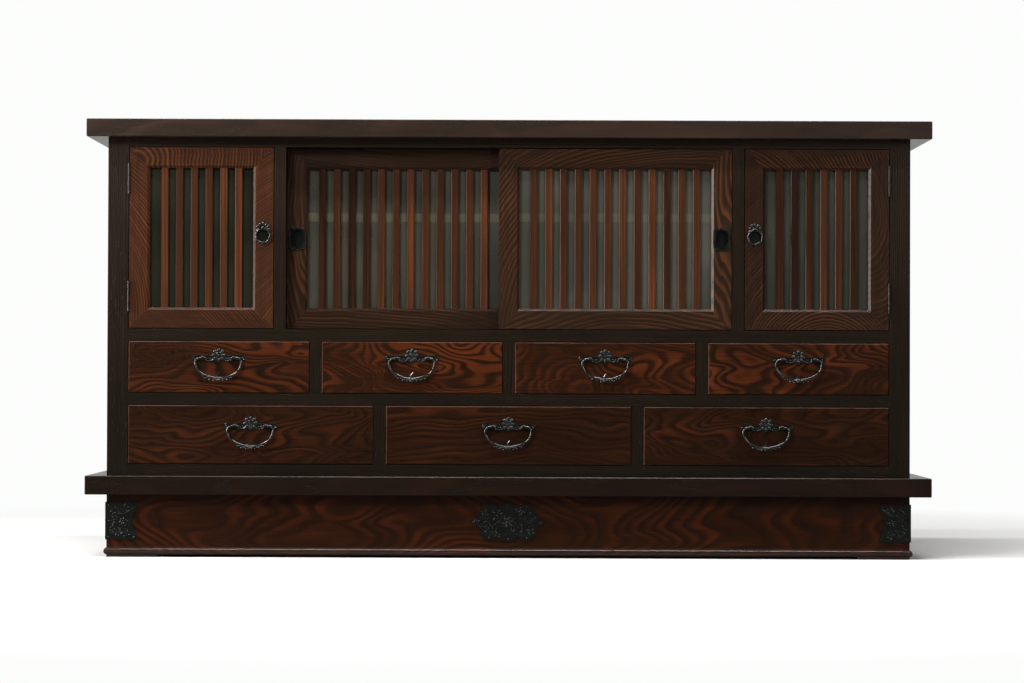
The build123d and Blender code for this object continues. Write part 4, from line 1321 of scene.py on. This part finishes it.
@dataclass(frozen=True)
class Layout:
    """The lines that the finishes and the fittings are set out from, in metres.

    Shelf is between which heights the lit edge of the shelf is painted on the sliding doors' glass, and bar is the
    width of a lattice bar.
    """

    front: float = -0.195
    posts_in: float = 0.8135
    case_x: float = 0.8575
    foot_bead: float = 0.021
    plinth_mid: float = 0.077
    waist_low: float = 0.134
    top_low: float = 0.896
    iron: float = 0.0025
    rails: Sequence[Point] = ((0.174, 0.198), (0.325, 0.350), (0.462, 0.488), (0.877, 0.896))
    lower_z: float = 0.280
    upper_z: float = 0.425
    ring_x: float = 0.52575
    ring_z: float = 0.702
    flush_x: float = 0.45475
    flush_z: float = 0.6825
    shelf: Point = (0.720, 0.738)
    bar: float = 0.015


class Copy(NamedTuple):
    """A copy of a pattern: its name, the body it moves with, its place, and the node that it stands for, if any."""

    name: str
    body: str
    place: Matrix
    node: str = ""


class Dresser:
    """Hands finishes to the frame's nodes and sets new ironwork on their bodies."""

    def __init__(self, nodes: dict[str, Piece]) -> None:
        """Keeps the frame's nodes by name, and makes the iron finishes."""
        self.nodes = nodes
        self.irons = {kind: kind.value.make() for kind in Iron}

    def paint(self, finish: Finish | Iron, *nodes: str) -> None:
        """Gives nodes their finish.

        Args:
            finish: A material or a kind of iron.
            nodes: The nodes' names.
        """
        material = self.irons.get(finish, finish)
        for node in nodes:
            materials = self.nodes[node].data.materials
            materials.clear()
            materials.append(material)
            LOG.info("finished %s in %s", node, material.name)

    def add(self, pattern: Piece, iron: Iron, copies: Iterable[Copy]) -> None:
        """Sets copies of a pattern on their bodies, and does away with the pattern.

        Args:
            pattern: The pattern.
            iron: What the copies are made of.
            copies: The copies.
        """
        for name, body, place, node in copies:
            piece = Bench.copied(pattern, name, place)
            piece.data.materials.clear()
            piece.data.materials.append(self.irons[iron])
            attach(piece, body)
            if node:
                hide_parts(node)
            LOG.info("added %s to %s, %d faces", piece.name, body, len(piece.data.polygons))
        bpy.data.objects.remove(pattern, do_unlink=True)


@dataclass
class SubAssembly:
    """A part of the cabinet, set out on the layout and finished by the dresser."""

    layout: Layout
    dresser: Dresser


def figure(along: float, across: float, stretch: float, swing: float = 14.0) -> Figure:
    """A board's figure, with its swing in millimetres."""
    return Figure(along, across, stretch, swing * MM)


def figures(*rows: tuple[float, float, float, float]) -> tuple[Figure, ...]:
    """The figures of several boards."""
    return tuple(figure(*row) for row in rows)


class Carcass(SubAssembly):
    """The boards, the plinth and the case."""

    def dress(self) -> None:
        """Finishes every fixed board and iron."""
        lay, paint = self.layout, self.dresser.paint
        wide, upright = figure(0.35, -0.06, 14.0, 16.0), ("back_panel", "cupboard_partitions")
        for name, tone, run, height, rings, seed, *nodes in (
            ("top board", TOP_WOOD, Run.FLAT, lay.top_low, wide, 4.0, "top_board"),
            ("waist board", WAIST_WOOD, Run.FLAT, lay.waist_low, wide, 9.0, "waist_board"),
            ("inner boards across", INNER_WOOD, Run.ACROSS, 0.5, figure(0.2, 0.3, 6.0), 1.0, "cupboard_boards"),
            ("inner boards upright", INNER_WOOD, Run.UPRIGHT, 0.5, figure(0.1, 0.2, 6.0), 3.0, *upright),
            ("runners", INNER_WOOD, Run.DEEP, 0.3, figure(0.1, 0.1, 6.0), 6.0, "drawer_runners"),
        ):
            paint(BoardFinish(name, tone, run, (0, 0, height), rings, seed).make(), *nodes)
        foot = BoardFinish(
            "plinth",
            ZELKOVA_PLINTH,
            Run.ACROSS,
            (0.0, lay.front, lay.plinth_mid),
            figure(-0.385, 0.0, 2.6, 95.0),
            seed=2.0,
            tint=0.46,
            polish_under=lay.foot_bead,
        )
        paint(foot.make(), "plinth")
        case = CaseFinish("case frame", CASE_WOOD, lay.rails, lay.posts_in, 5.0)
        paint(case.make(), "case_side_left", "case_side_right", "front_frame")
        paint(Iron.PLATE, "plinth_irons")
        paint(Iron.HINGE, "case_hinge_leaves")

    def ironwork(self) -> None:
        """Sets the scrollwork on the three plinth irons."""
        lay = self.layout
        place = Matrix.Translation((0, lay.front - lay.iron, lay.plinth_mid))
        centre = CENTRE_SCROLLS.make("centre_scroll_pattern")
        self.dresser.add(centre, Iron.RELIEF, [Copy("centre_iron_scrollwork", "case", place)])
        corners = []
        for side, sign in SIDES:
            on_front = Matrix.Translation((sign * lay.case_x, lay.front - lay.iron, lay.plinth_mid))
            on_end = Matrix.Translation((sign * (lay.case_x + lay.iron), lay.front, lay.plinth_mid))
            # On the strap's end the pattern's own X runs back along it, and the relief stands out sideways
            turned = Matrix(((0, -sign, 0, 0), (1, 0, 0, 0), (0, 0, 1, 0), (0, 0, 0, 1)))
            for face, place in (("front", on_front @ Matrix.Diagonal((-sign, 1, 1, 1))), ("end", on_end @ turned)):
                corners.append(Copy(f"{side}_corner_{face}_scrollwork", "case", place))
        self.dresser.add(CORNER_SCROLLS.make("corner_scroll_pattern"), Iron.RELIEF, corners)


@dataclass(frozen=True)
class DoorLook:
    """How one door's frame, bars and pane look.

    The figures and tints are of the left and right stile, then the foot and the head. The bars and the pane share
    bar_seed, and a pane has its own colour and that of the film on it; the pane's colour is partly painted, standing
    for the room reflected in the glass and the shaded cupboard behind it.
    """

    tone: WoodTone
    seed: float
    figures: Sequence[Figure]
    tints: Sequence[float]
    bars: int
    bar_seed: float
    sticks: Sticks
    pane: tuple[Colour, Colour]
    shelf_painted: bool = False


# The panes' colours are partly painted: painted reflection of the room and painted shade of the cupboard behind
DOORS = {
    "left_door": DoorLook(
        tone=ZELKOVA,
        seed=1.0,
        figures=figures(
            (-0.17, -0.30, 1.0, 18.0),
            (-0.45, 0.34, 1.0, 22.0),
            (-0.50, -0.50, 1.0, 10.0),
            (-0.142, -0.002, 1.15, 17.0),
        ),
        tints=(0.52, 0.58, 0.36, 0.52),
        bars=6,
        bar_seed=45.0,
        sticks=Sticks(0.40, (0, 4, 5)),
        pane=(srgb(29, 29, 22), srgb(46, 45, 35)),
    ),
    "right_door": DoorLook(
        tone=ZELKOVA_CALM,
        seed=14.0,
        figures=figures(
            (-0.30, 0.22, 1.2, 24.0),
            (0.05, -0.05, 1.8, 34.0),
            (0.02, -0.10, 1.0, 20.0),
            (-0.26, -0.22, 1.1, 18.0),
        ),
        tints=(0.48, 0.54, 0.48, 0.50),
        bars=6,
        bar_seed=55.0,
        sticks=Sticks(0.22, (3, 4), (1,)),
        pane=(srgb(52, 52, 45), srgb(65, 64, 56)),
    ),
    "left_sliding_door": DoorLook(
        tone=ZELKOVA_SLIDING,
        seed=27.0,
        figures=figures(
            (0.06, 0.04, 3.2, 40.0),
            (-0.20, -0.26, 1.5, 24.0),
            (-0.20, -0.20, 2.6, 30.0),
            (0.05, 0.24, 2.2, 30.0),
        ),
        tints=(0.50, 0.40, 0.44, 0.40),
        bars=12,
        bar_seed=87.0,
        sticks=Sticks(0.38, (4, 6, 10, 11), (0, 2, 3)),
        pane=(srgb(54, 53, 45), srgb(75, 73, 63)),
        shelf_painted=True,
    ),
    "right_sliding_door": DoorLook(
        tone=ZELKOVA_SLIDING,
        seed=41.0,
        figures=figures(
            (-0.25, 0.30, 1.3, 26.0),
            (0.10, 0.03, 3.0, 50.0),
            (0.05, -0.12, 2.2, 44.0),
            (0.15, -0.30, 1.5, 30.0),
        ),
        tints=(0.52, 0.56, 0.52, 0.54),
        bars=12,
        bar_seed=97.0,
        sticks=Sticks(0.42, (1, 4, 6, 8), (9,)),
        pane=(srgb(65, 64, 56), srgb(87, 85, 76)),
        shelf_painted=True,
    ),
}


class Doors(SubAssembly):
    """The hinged and the sliding doors, with their rings and flush pulls."""

    def dress(self) -> None:
        """Finishes every door."""
        bar = self.layout.bar
        for door, look in DOORS.items():
            plain = door.replace("_", " ")
            # A sliding door's tongues reach past its rails, which shifts the mitres by very little
            low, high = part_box(f"{door}_frame")
            edges = (low.x, high.x, low.z, high.z)
            frame = DoorFinish(f"{plain} frame", look.tone, *edges, look.figures, look.tints, look.seed)
            low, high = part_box(f"{door}_lattice")
            pitch = (high.x - low.x - bar) / (look.bars - 1)
            bars = LatticeFinish(f"{plain} bars", ZELKOVA_BARS, low.x + bar / 2, pitch, look.bar_seed, look.sticks)
            shelf = self.layout.shelf if look.shelf_painted else None
            pane = GlassFinish(f"{plain} pane", *look.pane, look.bar_seed, shelf)
            for finish, node in ((frame, "frame"), (bars, "lattice"), (pane, "glass")):
                self.dresser.paint(finish.make(), f"{door}_{node}")
        for side, _ in SIDES:
            self.dresser.paint(Iron.HINGE, f"{side}_door_hinge_leaves")
            self.dresser.paint(Iron.PLATE, f"{side}_door_rosette", f"{side}_sliding_door_pull")

    def ironwork(self) -> None:
        """Sets the rings, the relief of their rosettes, and the beaded faces of the flush pulls."""
        lay, pull, rim = self.layout, RingPull(), FlushRim()
        rings, reliefs, faces = [], [], []
        for side, sign in SIDES:
            place = Matrix.Translation((sign * lay.ring_x, lay.front, lay.ring_z))
            rings.append(Copy(f"{side}_ring", f"{side}_door_ring", place, f"{side}_door_ring"))
            reliefs.append(Copy(f"{side}_rosette_relief", f"{side}_door", place))
            low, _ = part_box(f"{side}_sliding_door_pull")
            place = Matrix.Translation((sign * lay.flush_x, low.y - rim.face * MM, lay.flush_z))
            faces.append(Copy(f"{side}_flush_pull_face", f"{side}_sliding_door", place))
        self.dresser.add(pull.ring(), Iron.RAISED, rings)
        self.dresser.add(pull.relief(), Iron.RAISED, reliefs)
        self.dresser.add(rim.make(), Iron.RELIEF, faces)


@dataclass(frozen=True)
class DrawerLook:
    """Where a drawer's pull is across the cabinet, and how its front looks."""

    x: float
    figure: Figure
    seed: float
    tint: float


DRAWERS = {
    "upper_drawer_1": DrawerLook(-0.61950, figure(-0.05, -0.10, 2.2, 80.0), 3.3, 0.48),
    "upper_drawer_2": DrawerLook(-0.20650, figure(0.10, 0.05, 1.6, 105.0), 8.1, 0.54),
    "upper_drawer_3": DrawerLook(0.20650, figure(-0.08, -0.04, 2.4, 95.0), 12.7, 0.56),
    "upper_drawer_4": DrawerLook(0.61950, figure(-0.12, 0.00, 1.8, 80.0), 17.9, 0.50),
    "lower_drawer_1": DrawerLook(-0.550667, figure(-0.16, 0.04, 2.6, 95.0), 23.4, 0.34),
    "lower_drawer_2": DrawerLook(0.0, figure(0.02, -0.16, 4.0, 50.0), 29.2, 0.34),
    "lower_drawer_3": DrawerLook(0.550667, figure(0.15, 0.06, 2.2, 90.0), 36.6, 0.34),
}


class Drawers(SubAssembly):
    """The seven drawers and their pulls."""

    def dress(self) -> None:
        """Finishes fronts, boxes and plates."""
        box = BoardFinish("drawer boxes", INNER_WOOD, Run.DEEP, (0, 0, 0.3), figure(0.3, 0.2, 6.0), 7.5).make()
        for name, look in DRAWERS.items():
            low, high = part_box(f"{name}_front")
            tone = ZELKOVA_DRAWER if name.startswith("upper") else ZELKOVA_LOWER
            front = BoardFinish(
                name.replace("_", " "),
                tone,
                Run.ACROSS,
                tuple((low + high) / 2),
                look.figure,
                look.seed,
                look.tint,
                (low.x, high.x, low.z, high.z),
            )
            self.dresser.paint(front.make(), f"{name}_front")
            self.dresser.paint(box, f"{name}_box")
            self.dresser.paint(Iron.PLATE, f"{name}_pull_plate")

    def ironwork(self) -> None:
        """Sets a bail and the plate's relief on every drawer."""
        lay = self.layout
        bails, reliefs = [], []
        for name, look in DRAWERS.items():
            height = lay.upper_z if name.startswith("upper") else lay.lower_z
            place = Matrix.Translation((look.x, lay.front, height))
            bails.append(Copy(f"{name}_bow", f"{name}_bail", place, f"{name}_bail"))
            reliefs.append(Copy(f"{name}_plate_relief", name, place))
        self.dresser.add(Bail().make(), Iron.RAISED, bails)
        self.dresser.add(PullRelief().make(), Iron.RELIEF, reliefs)


# --- Studio ---


@dataclass(frozen=True)
class Lamp:
    """A soft lamp: where it stands, what it points at, how strong it is, and how wide and high its face is."""

    name: str
    at: Spot
    aim: Spot
    watts: float
    size: Point

    def make(self) -> None:
        """Sets up the lamp."""
        data = bpy.data.lights.new(self.name, "AREA")
        data.shape = "RECTANGLE"
        data.size, data.size_y = self.size
        data.energy = self.watts
        lamp = bpy.data.objects.new(self.name, data)
        lamp.location = self.at
        lamp.rotation_euler = (Vector(self.aim) - Vector(self.at)).to_track_quat("-Z", "Y").to_euler()
        bpy.context.scene.collection.objects.link(lamp)


@dataclass
class Studio:
    """A pale floor, soft lamps and a camera straight in front, a little below the cabinet's middle."""

    lens: float = 90.0
    eye: Spot = (0.007, -5.665, 0.400)
    tilt: float = 0.657
    roll: float = 0.21
    backdrop: Colour = (0.97, 0.98, 0.97)
    floor_colour: Colour = (0.78, 0.77, 0.75)
    bounce_colour: Colour = (0.20, 0.19, 0.18)
    mirrored: Colour = (0.35, 0.35, 0.35)
    room: float = 0.16
    lamps: Sequence[Lamp] = (
        Lamp("key", (-2.4, -3.2, 2.6), (0.1, -0.2, 0.45), 114.0, (0.9, 0.9)),
        Lamp("ceiling strip", (0.0, -0.45, 3.0), (0.0, -0.35, 0.0), 75.0, (2.4, 0.20)),
        Lamp("front strip", (0.0, -1.25, 3.0), (0.0, -0.30, 0.4), 60.0, (2.6, 0.20)),
        Lamp("window strip", (-3.2, -0.62, 1.0), (0.0, -0.45, 0.6), 130.0, (0.45, 2.2)),
        Lamp("fill", (2.8, -3.4, 1.6), (0.0, 0.0, 0.5), 40.0, (1.3, 1.3)),
    )

    def camera(self) -> None:
        """Sets up the camera."""
        data = bpy.data.cameras.new("camera")
        data.lens = self.lens
        data.sensor_width = 36.0
        data.clip_start, data.clip_end = 0.05, 60.0
        camera = bpy.data.objects.new("camera", data)
        upright = Matrix.Rotation(radians(90.0 + self.tilt), 4, "X") @ Matrix.Rotation(radians(self.roll), 4, "Z")
        camera.matrix_world = Matrix.Translation(self.eye) @ upright
        bpy.context.scene.collection.objects.link(camera)
        bpy.context.scene.camera = camera

    def world(self) -> None:
        """Makes a dim, even room with a white wall behind, which the camera and polished surfaces see."""
        world = bpy.data.worlds.new("studio")
        bpy.context.scene.world = world
        board = NodeBoard(world, "Generated")
        camera, mirror = board.rays()
        seen = board.math("MAXIMUM", camera, mirror * board.level(board.y, -0.05, 0.15))
        dim = board.mix(mirror, (1.0, 1.0, 1.0), self.mirrored)
        room = board.glow("ShaderNodeBackground", dim, self.room)
        board.close(board.blend(seen, room, board.glow("ShaderNodeBackground", self.backdrop, 1.0)))

    def floor(self) -> None:
        """Lays a wide pale floor that fades into the backdrop."""
        Bench.pick()
        bpy.ops.mesh.primitive_plane_add(size=24.0, location=(0, 0, 0))
        floor = bpy.context.active_object
        floor.name = "floor"
        board = NodeBoard(bpy.data.materials.new("pale floor"))
        grain = board.noise(board.point(board.x, board.y, board.z), 4.0, scale=3.0)
        camera, mirror = board.rays()
        pale = board.mix(grain, self.floor_colour, tuple(c * 0.97 for c in self.floor_colour))
        colour = board.mix(camera, self.bounce_colour, pale)
        laid = board.surface(grain, 0.1 * MM, Base_Color=colour, Roughness=0.75, Specular_IOR_Level=0.2)
        away = board.math("SQRT", board.x * board.x + board.y * board.y)
        seen = board.math("MAXIMUM", camera, mirror * board.level(board.y, 0.3, 0.8))
        far = board.level(away, 1.0, 2.3) * seen
        glow = board.glow("ShaderNodeEmission", self.backdrop, 1.0)
        floor.data.materials.append(board.close(board.blend(far, laid, glow)))

    def make(self) -> None:
        """Sets up the whole studio."""
        bpy.context.scene.view_settings.view_transform = "Standard"
        self.world()
        self.floor()
        for lamp in self.lamps:
            lamp.make()
        self.camera()


def main() -> None:
    """Builds the cabinet's dress and the studio, and logs each finish and each added piece with its faces."""
    logging.basicConfig(level=logging.INFO, format="%(name)s: %(message)s")
    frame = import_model()
    Bench.pick()
    layout, dresser = Layout(), Dresser(frame["nodes"])
    for assembly in (Carcass(layout, dresser), Doors(layout, dresser), Drawers(layout, dresser)):
        assembly.dress()
        assembly.ironwork()
    Studio().make()
    LOG.info("done")


if __name__ == "__main__":
    main()
